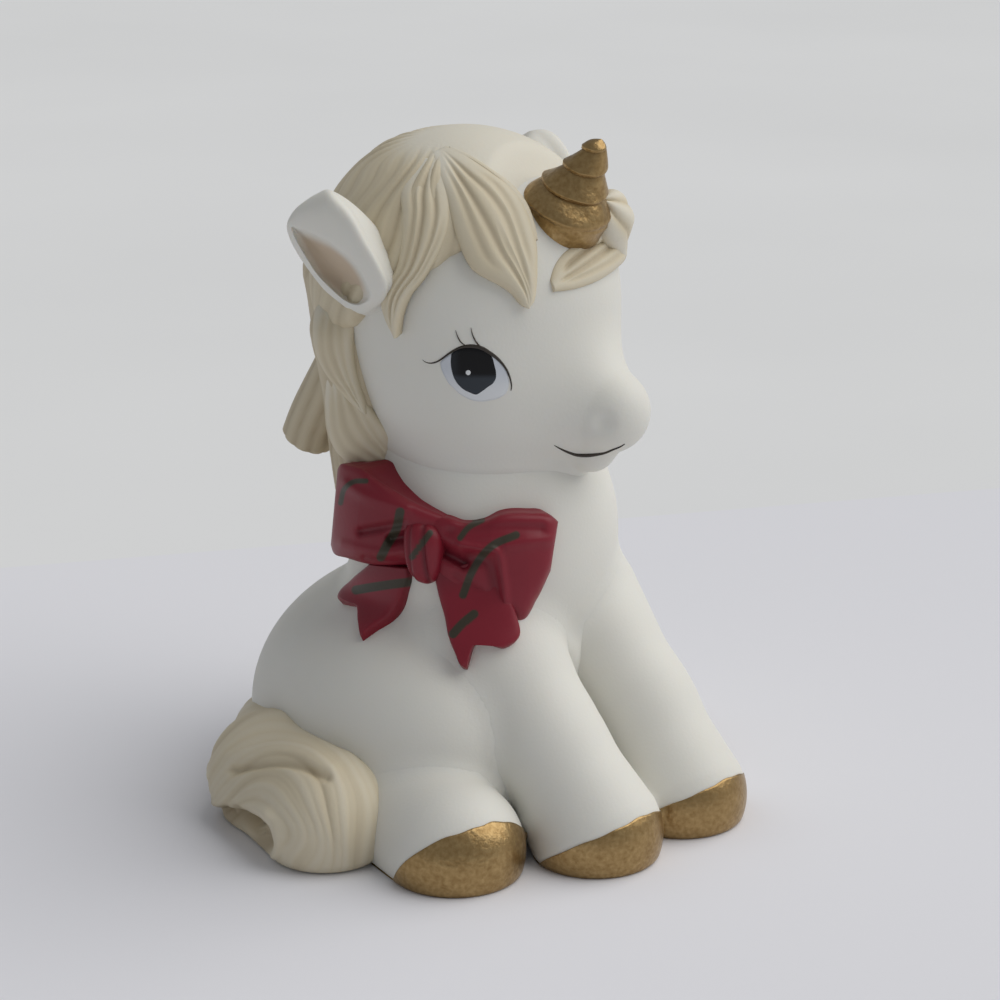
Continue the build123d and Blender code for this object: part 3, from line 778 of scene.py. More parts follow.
HIND_CORONET = {"right": spot(23.52, -28.7, 4.0), "left": spot(19.92, -14.0, 4.0)}
HIND_MIDDLE = {"right": spot(-23.5, -27.5, 0), "left": spot(20.1, -15.0, 0)}
for name, side in SIDES:
    def foot_skin(p):
        """Hind foot melted into the trunk."""
        mine = meet(foot_form(p, side), FOOT_MELT, trunk_form(p))
        return above_floor(p, meet(mine, LIMBS_MELT, foreleg_form(p, side)))

    make(f"{name}_hind_foot", [closed(solved(foot_skin, FOOT_CORE[name], FOOT_NET))],
         BISQUE)
    make(f"{name}_hind_hoof", [hoof_part(foot_skin, HIND_MIDDLE[name], HIND_CORONET[name], side,
                                         HIND_TURN, HIND_TILT)], GILDING)

# Head
EYE_PICTURE = spot(475.0, 373.0)
NOSTRIL_PICTURE = spot(603.7, 423.8)
eye_place = to_head(struck(head_form, EYE_PICTURE))
nostril_place = to_head(struck(head_form, NOSTRIL_PICTURE))
EYE_SWELL = 0.55
EYE_SPREAD = 3.6
NOSTRIL_DEPTH = 0.8
NOSTRIL_SPREAD = 0.75
HEAD_CORE = from_head(spot(0, -1, 1)), from_head(spot(0, -5, -9))
HEAD_NET = 230, 230, 30, 0.4


def face_skin(p):
    """Head with the swell of the eyes and the dimples of the nostrils."""
    q = to_head(p)
    total = head_form(p)
    for place, high, spread in ((eye_place, EYE_SWELL, EYE_SPREAD),
                                (nostril_place, -NOSTRIL_DEPTH, NOSTRIL_SPREAD)):
        for centre in (place, place * spot(-1, 1, 1)):
            total = total - high * np.exp(-((q - centre) ** 2).sum(-1) / (2 * spread**2))
    return total


def head_skin(p):
    """The head as it meets the neck."""
    return meet(face_skin(p), NECK_MELT, trunk_form(p))


make("head_shell", [closed(solved(head_skin, HEAD_CORE, HEAD_NET))], BISQUE)

# Eyes, lashes and mouth, painted
LID = [(422, 359.3), (425.5, 362.1), (430.4, 363.2), (436, 362.1), (443, 357.9), (448.7, 353.7),
       (454.3, 350.2), (459.9, 347.7), (466.9, 346.3), (474.6, 346.5), (481, 348), (488.7, 352.3),
       (495.7, 357.2), (502.7, 364.2), (507.6, 371.9), (510.4, 379.6), (511.5, 386.7),
       (510.8, 391.6)]
LASH_ONE = [(455.4, 329.8), (457.8, 336.8), (460.6, 341.8), (465.5, 345.6)]
LASH_TWO = [(470.8, 327), (472.5, 334.7), (476, 341.8), (481.5, 347.8)]
WHITE_EDGE = [(440.3, 362.1), (441, 367.7), (444.5, 376), (448.7, 383.2), (454.3, 388.8),
              (461.3, 395), (469.7, 399.3), (478.2, 401.4), (488.7, 400.7), (499.2, 397.9),
              (505.5, 393.7), (508.6, 386.4), (508, 376), (503, 366), (496, 358.6), (488.7, 353.4),
              (481, 349.2), (474.6, 347.6), (466.9, 347.4), (459.9, 349), (454.3, 351.6),
              (448.7, 355.2), (443, 359.2)]
IRIS_EDGE = [(451.5, 353.7), (450.8, 362.1), (452.2, 371.9), (455, 379.6), (458.5, 384.6),
             (464, 389.5), (469.7, 392.3), (476, 394.4), (482.4, 390.9), (488, 386.7),
             (492.9, 383.2), (495.7, 378.2), (495.9, 371.9), (494.3, 364.9), (492.9, 359.3),
             (489.4, 353.4), (481, 348.6), (474.6, 347.2), (466.9, 347), (459.9, 348.4),
             (454.8, 350.8)]
MOUTH = [(553.5, 444.9), (561.3, 449.1), (568.4, 452.3), (576.4, 454.8), (585.4, 455.4),
         (596, 454.5), (605, 452.7), (613, 449.4), (620.2, 446.6), (625.4, 443.6)]
PAINT_RISE = 0.05
PAINT_SINK = 0.35


def painted_line(line, widths, rows=70, height=0.16):
    """A brush stroke on the face: a low strand along a drawn line, as wide as widths says."""
    path, normals = lie(face_skin, line, rows)
    width = np.interp(np.linspace(0, 1, rows), np.linspace(0, 1, len(widths)), widths)
    return strand(path, normals, width, height, sink=0.02, round_columns=12, ends=0.5)


def painted_patch(edge, middle, lift, rows=16, columns=96, shade=None):
    """A patch of paint on the face: rings from its middle out to a drawn edge, then back under."""
    ring = drawn(list(edge) + [edge[0]], columns + 1)[:-1]
    s = np.linspace(0, 1, rows)
    flat = spot(*middle) + (ring[None] - spot(*middle)) * s[:, None, None]
    ground = struck(face_skin, flat)
    normal = slope(face_skin, ground)
    above = lift * np.sqrt(np.clip(1 - (s * 0.97) ** 8, 0, 1))
    upper = ground + normal * above[:, None, None]
    lower = (ground - normal * PAINT_SINK)[::-1]
    tone = shade(flat) if shade else np.zeros(flat.shape[:2])
    return closed(np.concatenate([upper, lower]),
                  {"wash_and_shade": np.concatenate([tone, tone[::-1]])})


def both_eyes(part):
    """A painted skin and its mirror image on the other side of the head."""
    return [part, turned_over(part)]


def iris_shade(flat):
    """Dark blue-grey in the lower part of the iris and at its left edge."""
    low = smooth(flat[..., 1], 373.0, 379.0)
    edge = 0.35 * smooth(-flat[..., 0], -462.0, -453.0)
    return np.clip(low + edge, 0, 1)


def white_shade(flat):
    """Bluish white, lighter below."""
    return smooth(flat[..., 1], 366.0, 396.0)


def dot_edge(middle, radius):
    """A round outline in the picture."""
    turn = np.linspace(0, 2 * math.pi, 12, endpoint=False)
    return [(middle[0] + radius * math.cos(a), middle[1] + radius * math.sin(a)) for a in turn]


lid = painted_line(LID, [0.05, 0.13, 0.13, 0.16, 0.24, 0.26, 0.22, 0.16, 0.14, 0.15])
lash_one = painted_line(LASH_ONE, [0.03, 0.08, 0.09], rows=24)
lash_two = painted_line(LASH_TWO, [0.03, 0.09, 0.11], rows=24)
mouth = painted_line(MOUTH, [0.06, 0.20, 0.27, 0.29, 0.26, 0.20, 0.16], rows=80, height=0.2)
make("right_and_left_lashes", both_eyes(lid) + both_eyes(lash_one) + both_eyes(lash_two)
     + both_eyes(mouth), LASH, node=False)
make("eye_whites", both_eyes(painted_patch(WHITE_EDGE, (474, 372), PAINT_RISE, shade=white_shade)),
     EYE_WHITE, node=False)
make("irises", both_eyes(painted_patch(IRIS_EDGE, (474, 370), 2.4 * PAINT_RISE, shade=iris_shade)),
     IRIS, node=False)
# painted highlights on the irises
make("painted_glints", both_eyes(painted_patch(dot_edge((468.3, 372.3), 2.7), (468.3, 372.3),
                                       3.6 * PAINT_RISE, rows=6, columns=32)),
     GLINT_HIGHLIGHT, node=False)

# Ears
EAR_ANCHOR = spot(-20.3, 5.5, 7.6)
EAR_ROOT = spot(-10.5, 6.5, 4.5)
EAR_SLANT = 1.45              # how fast the rim runs away from the camera towards the lower left
EAR_COLUMNS = 190
EAR_THICK = 3.6
EAR_HOLLOW = 3.3
EAR_MIDDLE = spot(331, 266)   # in the picture, like the next two
EAR_DOWN = unit(spot(-0.69, 0.72))
EAR_PIT = spot(5, 4)          # from the rim's middle to the deepest place
EAR_FULL_GAP = 30             # where the rim is this far from the outline it is full thickness
EAR_OUTLINE = [(287, 224), (294, 210.5), (305, 201), (317, 193.5), (329, 189.5), (342, 199),
               (355, 215), (367, 239), (379, 262), (388, 284), (384, 301), (373, 310), (362, 314),
               (351, 311), (338.7, 302), (324, 289.5), (310, 272), (298, 254.5), (289.5, 238)]
EAR_RIM = [(291.5, 227.5), (298, 228.5), (307, 231.5), (317, 236), (328, 241.5), (339, 249.5),
           (349, 258.5), (358, 269), (365, 281), (369, 292), (368, 299.5), (363, 303), (357, 304.5),
           (349, 302.5), (340.5, 297), (329.5, 287), (317.5, 274.5), (306.8, 258), (296.5, 240.5)]


def ear_part():
    """A cupped ear from two lines in the picture: its outline, which lies further back, and the
    rim of its opening. Between them the skin rolls over, behind the outline it closes inside
    the head, and inside the rim it sinks to the hollow."""
    anchor = from_head(EAR_ANCHOR)
    depth = (anchor - CAMERA_PLACE) @ look

    def placed(picture, back):
        aim = sight(picture)
        slant = ((picture - EAR_MIDDLE) @ EAR_DOWN) * depth / FOCAL * EAR_SLANT
        return CAMERA_PLACE + aim * ((depth + slant + back) / (aim @ look))[..., None]

    outline, rim = ring_through(EAR_OUTLINE, EAR_COLUMNS), ring_through(EAR_RIM, EAR_COLUMNS)
    gap = size_of(outline - rim) / EAR_FULL_GAP
    roll = np.linspace(0, math.pi / 2, 22)[:, None]
    slide = (1 - np.cos(roll))[..., None]
    over = placed(outline + (rim - outline) * slide * 0.96, EAR_THICK * gap * (1 - np.sin(roll)))
    inside = np.linspace(0, 1, 40)[1:, None]
    pit = rim.mean(0) + EAR_PIT
    sunk = placed(rim + (pit - rim) * inside[..., None],
                  EAR_HOLLOW * np.sqrt(np.clip(1 - (1 - inside) ** 2.2, 0, 1)))
    first = placed(outline, EAR_THICK * gap)
    centre, root = first.mean(0), from_head(EAR_ROOT)
    q = np.linspace(1, 0, 30)[:-1, None, None]
    back = centre + (root - centre) * q + (first - centre) * np.cos(q * math.pi / 2) ** 0.55
    grid = np.concatenate([back, over, sunk])
    tone = np.concatenate([np.zeros(len(back) + len(over)), smooth(inside[:, 0], 0.0, 0.35)])
    return closed(grid, {"wash_and_shade": np.broadcast_to(tone[:, None], grid.shape[:2])})


right_ear = ear_part()
make("right_ear", [right_ear], EAR)
make("left_ear", [turned_over(right_ear)], EAR)

# Horn
HORN_ROOT = spot(0, -0.62, 0.66) * HEAD_RADIUS
HORN_LEAN = math.radians(28)
HORN_ROWS, HORN_COLUMNS = 230, 130
HORN_SINK = 2.0               # how deep its foot is in the head
HORN_LENGTH = 11.6
HORN_PITCH = 2.95
HORN_LEDGE = 1.1
HORN_DENT = 0.24
LIP_LEVEL = 0.45              # share of a ledge where the taper itself runs
HORN_PROFILE = [(-2.0, 4.9), (0.0, 5.3), (1.6, 5.5), (2.9, 4.9), (4.4, 3.9), (6.0, 3.05),
                (7.8, 2.25), (9.4, 1.7), (10.6, 1.25), (11.6, 0.9)]
horn_axis = spot(0, -math.sin(HORN_LEAN), math.cos(HORN_LEAN))
horn_side = spot(1, 0, 0)
horn_over = np.cross(horn_axis, horn_side)


def horn_part():
    """A squat horn wound like a shell: a taper whose turns overhang, each wider at its lower lip
    and drawn in above it, with a dent here and there and a round tip."""
    u = np.linspace(0, 1, HORN_ROWS)[:, None]
    turn = np.linspace(0, 2 * math.pi, HORN_COLUMNS, endpoint=False)[None]
    height = -HORN_SINK + (HORN_LENGTH + HORN_SINK) * u + 0.0 * turn
    wound = (height - HORN_PITCH * (turn / (2 * math.pi)) + 0.35) / HORN_PITCH
    phase = wound % 1.0
    step = smooth(phase, 0.0, 0.16)
    lip = (1 - phase) ** 0.8 * step + LIP_LEVEL * (1 - step)
    fade = smooth(wound, 0.0, 0.3) * (1 - 0.6 * u)
    heights, radii = zip(*HORN_PROFILE)
    taper = np.interp(height, heights, radii)
    dents = HORN_DENT * np.sin(3 * turn + 9 * u) * np.sin(14 * u + turn) * (1 - u)
    tip = np.sqrt(np.clip(1 - smooth(u, 0.90, 1.0) ** 2, 0, 1))
    radius = (taper + HORN_LEDGE * fade * (lip - LIP_LEVEL) + dents) * tip
    q = (HORN_ROOT + radius[..., None] * (np.cos(turn)[..., None] * horn_side
                                          + np.sin(turn)[..., None] * horn_over)
         + height[..., None] * horn_axis)
    return closed(from_head(q))


make("horn", [horn_part()], GILDING)

# Hair on the crown
HORN_FOOT = unit(spot(0, -0.84, 0.55))
WHORL = unit(spot(-3.5, 0.5, 17.0))
CROWN_STRANDS = 27
HORN_DIP = 1.7                # how far the hair sinks round the horn's foot
CAP_EDGE = spot(0, 0, 5.3)    # a place on the slanting edge
CAP_SLANT = unit(spot(0, 0.75, 1.0))
BARE_MIDDLE = unit(spot(0.0, -0.58, 0.81))
WAVE_SINK = 0.15
CAP_CORE = from_head(spot(0, 4, 9)), from_head(spot(0, 3, 9.5))
CAP_NET = 230, 310, 30, 0.49


def hair_skin(p):
    """Crown hair: the hair ball, dipping into the forehead round the horn and cut off along a
    slanting edge."""
    q = to_head(p)
    arm = q - HAIR_CENTRE
    dip = HORN_DIP * smooth(unit(arm) @ HORN_FOOT, 0.80, 0.95)
    return cut(CAP_ROUND, size_of(arm) - HAIR_RADIUS + dip, -((q - CAP_EDGE) @ CAP_SLANT))


def crown_waves(p):
    """Strands that fan out from a whorl on each side of the crown: height and wash."""
    q = unit(to_head(p) - HAIR_CENTRE)
    q = np.stack([-np.sqrt(q[..., 0] ** 2 + 0.0016), q[..., 1], q[..., 2]], -1)
    ahead = unit(np.cross(WHORL, spot(1, 0, 0)))
    aside = np.cross(WHORL, ahead)
    along, across = q @ ahead, q @ aside
    away_from = np.arccos(np.clip(q @ WHORL, -1, 1))
    around = np.arctan2(across, along)
    wander = 0.16 * np.sin(3.1 * away_from + 2 * around) + 0.05 * np.sin(9 * away_from + 5 * around)
    phase = CROWN_STRANDS * (around + wander) / (2 * math.pi)
    swell = 0.65 + 0.35 * np.sin(phase * 0.9 + 1.0)
    bare = 1 - smooth(q @ BARE_MIDDLE, 0.74, 0.93)
    grown = smooth(away_from, 0.12, 0.50) * bare
    crest = ridge(phase, 0.75)
    fine = ridge(2.63 * phase + 0.4, 0.9)
    high = grown * swell * (0.46 * crest + 0.09 * fine)
    wash_and_shade = np.clip(0.06 + 0.34 * grown + 0.42 * grown * (1 - crest) * swell
                   + 0.10 * grown * (1 - fine), 0, 1)
    return high, wash_and_shade


def waved(skin, grid, waves):
    """A closed grid pushed out along its form's normals by waves, and its wash."""
    high, wash_and_shade = waves(grid)
    normal = slope(skin, grid)
    return closed(grid + normal * (high - WAVE_SINK)[..., None], {"wash_and_shade": wash_and_shade})


cap_grid = solved(hair_skin, CAP_CORE, CAP_NET)
make("hair_cap", [waved(hair_skin, cap_grid, crown_waves)], HAIR)


# Locks, drawn in the picture from root to tip
def carved(root, tip, grooves, edges, width=0.085, swelling=0.4, lean=0.0):
    """Height and wash of a lock that swells in from its root and changes height to its tip, with
    rounded edges and grooves that wander from one share of its width to another; lean makes
    one edge higher than the other."""
    def cuts(s, t):
        total = np.zeros(s.shape)
        for number, (start, end, first, last, deep) in enumerate(grooves):
            line = start + (end - start) * smooth(s, first, last) + 0.04 * np.sin(8 * s + 2 * number)
            along = smooth(s, first - 0.08, first + 0.12) * (1 - smooth(s, last - 0.15, last + 0.02))
            total = np.maximum(total, deep * along * np.exp(-((t - line) / width) ** 2))
        return total

    def rise(s, t):
        body = (root + (tip - root) * smooth(s, 0.1, 0.85)) * smooth(s, -0.02, swelling)
        body = body * (1 + lean * t)
        side = np.clip(1 - np.abs(t) ** edges, 0, 1) ** 0.5
        return (body - cuts(s, t)) * side

    def wash_and_shade(s, t):
        base = 0.10 + 0.22 * smooth(s, 0.0, 0.3)
        return np.clip(base + 1.1 * cuts(s, t) + 0.18 * np.abs(t) ** 8 + 0.06 * np.sin(5 * s + 3 * t),
                       0, 1)
    return rise, wash_and_shade


def lock(form, left, right, shape, rows, columns):
    """A carved lock between two lines of the picture."""
    return leaf(form, left, right, rows, columns, *shape)


TIP_LEFT = [(433, 152), (438, 170), (446, 196), (452, 221), (460, 246), (474, 270.8), (487, 279),
            (500.3, 286), (512.3, 295), (521, 305), (525, 307.5)]
TIP_RIGHT = [(446, 146), (466, 156), (485, 169), (508, 186), (523, 204), (532, 226), (536.5, 246),
             (537, 268), (536, 286), (532.4, 302), (527, 307.5)]
TIP_GROOVES = [(-0.55, -0.45, 0.15, 0.75, 0.20), (-0.15, -0.10, 0.10, 0.97, 0.30),
               (0.28, 0.34, 0.08, 0.92, 0.26), (0.64, 0.62, 0.25, 0.80, 0.20),
               (0.08, 0.14, 0.55, 0.98, 0.16)]
SIDE_LEFT = [(424, 158), (410, 172), (401, 190), (402, 214), (401, 246), (396, 270), (387, 284),
             (382, 300), (386, 318), (396, 335)]
SIDE_RIGHT = [(440, 158), (444, 178), (449, 198), (450, 216), (445, 238), (437, 256), (424, 278),
              (410, 296), (402, 316), (399, 336)]
SIDE_GROOVES = [(-0.50, -0.45, 0.15, 0.85, 0.20), (-0.05, -0.10, 0.05, 0.97, 0.30),
                (0.42, 0.36, 0.12, 0.92, 0.26), (0.74, 0.70, 0.35, 0.75, 0.16)]
TOP_GROOVES = [(0.0, 0.1, 0.1, 0.9, 0.06)]
TOP_LEFT = [(450, 152), (474, 166), (494, 182), (510, 202), (520, 222), (526, 240)]
TOP_RIGHT = [(449, 146), (470, 155), (490, 168), (512, 184), (527, 203), (535, 225), (538, 240)]
tip_shape = carved(0.75, 1.05, TIP_GROOVES, 2.6, 0.11)
side_shape = carved(0.8, 0.95, SIDE_GROOVES, 2.6, 0.12)
low_shape = carved(0.3, 0.95, SIDE_GROOVES, 2.6, 0.12)
top_shape = carved(0.16, 0.22, TOP_GROOVES, 2.0)
make("forelock_tip", [lock(hair_form, TIP_LEFT, TIP_RIGHT, tip_shape, 190, 150)], HAIR)
make("forelock_side", [lock(hair_form, SIDE_LEFT, SIDE_RIGHT, side_shape, 190, 120)],
     HAIR)
make("forelock_left", [turned_over(lock(hair_form, SIDE_LEFT, SIDE_RIGHT, low_shape, 150, 100))],
     HAIR)
make("forelock_top", [lock(hair_form, TOP_LEFT, TOP_RIGHT, top_shape, 90, 40)], HAIR)

# Curl round the horn's foot
CURL_OUTER = [(601, 190), (613, 193), (624, 201), (629.6, 212), (629, 224), (622, 234), (612, 240)]
CURL_INNER = [(600, 202), (607, 206), (611, 213), (612, 220), (609, 227), (604, 233), (600, 237)]
FRINGE_OUTER = [(629, 220), (634, 230), (635.5, 241), (631, 250), (624, 259), (612, 271), (597, 281),
                (575, 289), (553, 292)]
FRINGE_INNER = [(606, 206), (601, 221), (592, 233), (581, 241), (570, 248), (561, 256), (554, 267),
                (550, 280)]
CURL_GROOVES = [(-0.1, 0.0, 0.05, 0.9, 0.22)]
FRINGE_GROOVES = [(-0.66, -0.40, 0.10, 0.85, 0.45), (-0.05, 0.05, 0.05, 0.95, 0.34),
                  (0.45, 0.42, 0.15, 0.9, 0.18)]
COIL_START = spot(7.2, -21.2, 75.0)
COIL_END = spot(10.2, -18.6, 70.6)
COIL_ALONG = unit(COIL_END - COIL_START)
COIL_SIDE = unit(np.cross(COIL_ALONG, spot(0, 0, 1)))
COIL_TOP = np.cross(COIL_SIDE, COIL_ALONG)
COIL_NET = 110, 110, 10, 0.3
COIL_STRANDS = 6
COIL_CARVING = 0.45
LUMP_LINE = [(580, 243), (590, 238), (600, 233), (609, 229)]


def coil_crest(p):
    """Strands that run along the coil with a slight twist: 1 on a crest, 0 in a groove."""
    q = p - COIL_START
    around = np.arctan2(q @ COIL_SIDE, q @ COIL_TOP)
    return ridge(COIL_STRANDS * around / (2 * math.pi) + 0.09 * (q @ COIL_ALONG), 0.75)


def coil_form(p):
    """Roll of the forelock that passes behind the horn's foot to the left side."""
    return cone(p, COIL_START, COIL_END, 3.7, 3.0) - COIL_CARVING * coil_crest(p) + 0.2


coil_grid = solved(coil_form, (COIL_START, COIL_END), COIL_NET)
curl_shape = carved(2.7, 1.9, CURL_GROOVES, 2.2, swelling=0.1)
fringe_shape = carved(1.7, 0.5, FRINGE_GROOVES, 2.2, 0.15, 0.1, 0.45)
make("horn_curl", [
    lock(head_form, CURL_INNER, CURL_OUTER, curl_shape, 100, 70),
    lock(head_form, FRINGE_INNER, FRINGE_OUTER, fringe_shape, 140, 110),
    strand(*lie(head_form, LUMP_LINE, 40), 1.3, 1.7, 0.1, 24),
    closed(coil_grid, {"wash_and_shade": 0.12 + 0.45 * (1 - coil_crest(coil_grid))}),
], HAIR)


# Mane
def mane_skin(p):
    """Mane with the head and trunk under it."""
    return meet(mane_form(p), NAPE_MELT, trunk_form(p))


MANE_STRANDS = 17
MANE_CORE = from_head(spot(-2.3, 15, 1)), from_head(spot(-3.4, 14, -24))
MANE_NET = 230, 300, 26, 0.3


def mane_waves(p):
    """Strands that hang down round the mane's axis with a slow wave: height and wash."""
    q = to_head(p)
    around = np.arctan2(q[..., 0] + 3.0, q[..., 1] - 5.0)
    drop = q[..., 2]
    phase = MANE_STRANDS * (around + 0.10 * np.sin(0.28 * drop + 2 * around)
                            + 0.03 * np.sin(0.9 * drop + 5 * around)) / (2 * math.pi)
    crest = ridge(phase, 0.75)
    fine = ridge(2.37 * phase + 0.3, 0.9)
    swell = 0.7 + 0.3 * np.sin(1.1 * phase + 0.12 * drop)
    high = swell * (0.32 * crest + 0.07 * fine)
    return high, np.clip(0.55 + 0.38 * swell * (1 - crest) + 0.10 * (1 - fine), 0, 1)


mane_grid = solved(mane_skin, MANE_CORE, MANE_NET)
make("mane", [waved(mane_skin, mane_grid, mane_waves)], HAIR)


FLICK_LINE = [(-3, 14, 0), (-3.4, 17.0, -6), (-3.8, 20.5, -12), (-4.0, 24.0, -18.0),
              (-4.1, 25.6, -21.5)]
FLICK_WIDTHS = [(0, 3.4), (0.3, 4.6), (0.7, 4.4), (0.97, 4.3), (1, 0.2)]
FLICK_ROWS, FLICK_COLUMNS = 90, 60
FLICK_FLAT = 0.8
FLICK_RIDGES = 5
FLICK_CARVING = 0.05


def flick_part():
    """A thick lock that kicks out behind: an oval along a path, with ridges along it."""
    path = drawn([from_head(spot(*place)) for place in FLICK_LINE], FLICK_ROWS)
    across, up = framed(path, np.broadcast_to(look_right, path.shape))
    widths = np.interp(np.linspace(0, 1, FLICK_ROWS), *zip(*FLICK_WIDTHS))[:, None]
    turn = np.linspace(0, 2 * math.pi, FLICK_COLUMNS, endpoint=False)
    drift = np.linspace(0, 1.2, FLICK_ROWS)[:, None]
    wave = 1 - FLICK_CARVING * (1 - ridge(FLICK_RIDGES * turn / math.pi + drift, 0.8))
    radius = widths * wave
    grid = (path[:, None] + across * (radius * np.cos(turn))[..., None]
            + up * (FLICK_FLAT * radius * np.sin(turn))[..., None])
    return closed(grid, {"wash_and_shade": np.clip(0.48 + 0.4 * (1 - wave) / FLICK_CARVING, 0, 1)})


make("mane_flick", [flick_part()], HAIR)


def hanging_form(p):
    """What the locks behind the cheek lie on."""
    return melt(LOCK_MELT, mane_form(p), head_form(p))


UPPER_LEFT = [(318, 292), (314, 318), (315.7, 346), (324.6, 369), (340.7, 391), (358, 408.5),
              (365.5, 412.5)]
UPPER_RIGHT = [(356, 300), (353, 325), (353, 351), (356, 370), (361, 388), (366, 402), (367.5, 412)]
UPPER_GROOVES = [(-0.45, -0.40, 0.10, 0.85, 0.14), (0.05, 0.0, 0.05, 0.97, 0.18),
                 (0.50, 0.45, 0.15, 0.90, 0.14)]
SECOND_LEFT = [(322, 360), (324.6, 380), (325.5, 405), (328, 431.8), (337, 451), (351, 464),
               (376, 478), (400, 490)]
SECOND_RIGHT = [(350, 380), (360, 396), (369, 408), (379, 422), (391, 437), (403, 451), (412, 469),
                (420, 487)]
SECOND_GROOVES = [(-0.60, -0.50, 0.05, 0.90, 0.16), (-0.15, -0.15, 0.10, 0.97, 0.20),
                  (0.30, 0.25, 0.05, 0.97, 0.18), (0.66, 0.62, 0.30, 0.9, 0.12)]
upper_shape = carved(1.1, 0.9, UPPER_GROOVES, 2.6, 0.14)
second_shape = carved(0.8, 0.9, SECOND_GROOVES, 2.6, 0.13)
right_parts = [lock(hanging_form, UPPER_LEFT, UPPER_RIGHT, upper_shape, 150, 110),
               lock(hanging_form, SECOND_LEFT, SECOND_RIGHT, second_shape, 150, 120)]
make("mane_right_lock", right_parts, HAIR)
make("mane_left_lock", [turned_over(part) for part in right_parts], HAIR)

# Tail
TAIL_ROOT = (-15, 16.0, 4.5), (-27.4, 2.2, 5.3), 4.6, 7.8
TAIL_END = (-27.4, 2.2, 5.3), (-30.6, -10.8, 4.8), 7.8, 8.4
TAIL_HOLLOW = (-38.9, 3.5, 2.6), (-35.3, -4.0, 3.5), 2.4, 1.7
TAIL_CORE, TAIL_NET = ((-19, 11, 4), (-29.5, -7.5, 4.5)), (270, 270, 24, 0.3)
ARC_CENTRE = spot(250, 848)   # middle of the nested arcs in the picture


def tail_form(p):
    """The tail's swelling, beside the right thigh."""
    return melt(TAIL_MELT, cone(p, *TAIL_ROOT), cone(p, *TAIL_END))


def tail_skin(p):
    """Tail on the floor, with the hollow that it curls round."""
    return cut(HOLLOW_ROUND, above_floor(p, tail_form(p)), -cone(p, *TAIL_HOLLOW))


def tail_level(flat):
    """Which of the nested arcs round the hollow a point of the picture lies on, 0 at the hollow:
    found by halving, since each arc is an oval that grows and moves outwards."""
    low, high = np.zeros(flat.shape[:-1]), np.full(flat.shape[:-1], 1.8)
    for _ in range(16):
        level = (low + high) / 2
        across = (flat[..., 0] - ARC_CENTRE[0] - 35 * level) / (8 + 80 * level)
        above = (flat[..., 1] - ARC_CENTRE[1]) / (10 + 110 * level)
        beyond = across**2 + above**2 > 1
        low = np.where(beyond, level, low)
        high = np.where(beyond, high, level)
    return (low + high) / 2


TAIL_FOLDS = [([(234, 770), (252, 767), (271, 765), (291, 765), (307, 769), (327, 778)], 4.5, -0.75),
              ([(232, 756), (256, 752), (284, 751), (308, 757), (330, 770)], 8.0, 0.35),
              ([(224, 815), (240, 820), (256, 830), (262, 846)], 8.0, -1.9),
              ([(268, 812), (277, 830), (277, 850), (268, 862)], 5.0, 0.45),
              ([(213, 803), (234, 803), (254, 807), (268, 817)], 5.0, 0.40)]


def tail_waves(p):
    """Strands that sweep over the tail and in towards the hollow: height and wash."""
    flat = seen(p)
    level = tail_level(flat)
    angle = np.arctan2(ARC_CENTRE[1] - flat[..., 1], flat[..., 0] - 265)
    phase = 4.6 * level - 0.30 * angle + 0.12 * np.sin(4 * angle + 9 * level)
    crest = ridge(phase, 0.8)
    fine = ridge(2.6 * phase + 0.25, 0.9)
    swell = 0.55 + 0.45 * np.sin(1.9 * phase + 2.2 * angle)
    low = 1 - smooth(-p[..., 2], -1.6, -0.3)
    near = smooth(level, 0.12, 0.4)
    drawn_in = near_lines(flat, TAIL_FOLDS)
    high = low * (near * (0.30 * swell * crest + 0.07 * fine) + drawn_in)
    return high, np.clip(0.30 + near * (0.30 * swell * (1 - crest) + 0.08 * (1 - fine))
                         + 0.35 * np.clip(-drawn_in, 0, 1.4), 0, 1)


tail_grid = solved(tail_skin, TAIL_CORE, TAIL_NET)
tail_high, tail_wash = tail_waves(tail_grid)
tail_grid = tail_grid + slope(tail_form, tail_grid) * tail_high[..., None]
tail_grid[..., 2] = np.maximum(tail_grid[..., 2], 0)
make("tail", [closed(tail_grid, {"wash_and_shade": tail_wash})], HAIR)

# Bow
NECK_AXIS = spot(0, -8.14)
FLAT_ON_NECK = 16.6
BOW_BACK = 12.8               # radius of the bow's hidden back, inside the neck
LOOP_ROWS, LOOP_COLUMNS = 150, 110
KNOT_ROWS, KNOT_COLUMNS = 80, 100
KNOT_HALF_HEIGHT = 3.9
KNOT_RADIUS = 17.6
RIBBON_THICK = 1.3
KNOT_ANGLE = math.radians(-69.6)
KNOT_HEIGHT = 36.4


STRIPES = [
    ([(340.5, 503), (345, 488), (353, 482), (366, 481)], 2.6),
    ([(400, 512), (396, 530), (387, 545), (381, 557)], 4.6),
    ([(412, 557), (421, 545), (430, 533)], 3.2),
    ([(460, 538), (468, 528), (482, 520)], 3.0),
    ([(463, 595), (472, 572), (482, 556), (492, 546), (516, 535)], 4.0),
    ([(356, 590), (380, 586), (410, 582)], 4.6),
    ([(453, 634), (462, 624), (474, 614)], 4.4),
]


def stripe_mark(points):
    """How much green paint lies on each place: near to a drawn stroke in the picture's frame."""
    flat = seen(points)
    mark = np.zeros(flat.shape[:-1])
    for line, half in STRIPES:
        path = drawn(line, 40)
        gap = np.sqrt(((flat[..., None, :] - path) ** 2).sum(-1)).min(-1)
        mark = np.maximum(mark, smooth(-gap, -half - 0.7, -half + 0.7))
    return mark


def striped(part):
    """A skin with its stripes marked."""
    points, faces, marks = part
    return points, faces, {**marks, "stripe": stripe_mark(points)}


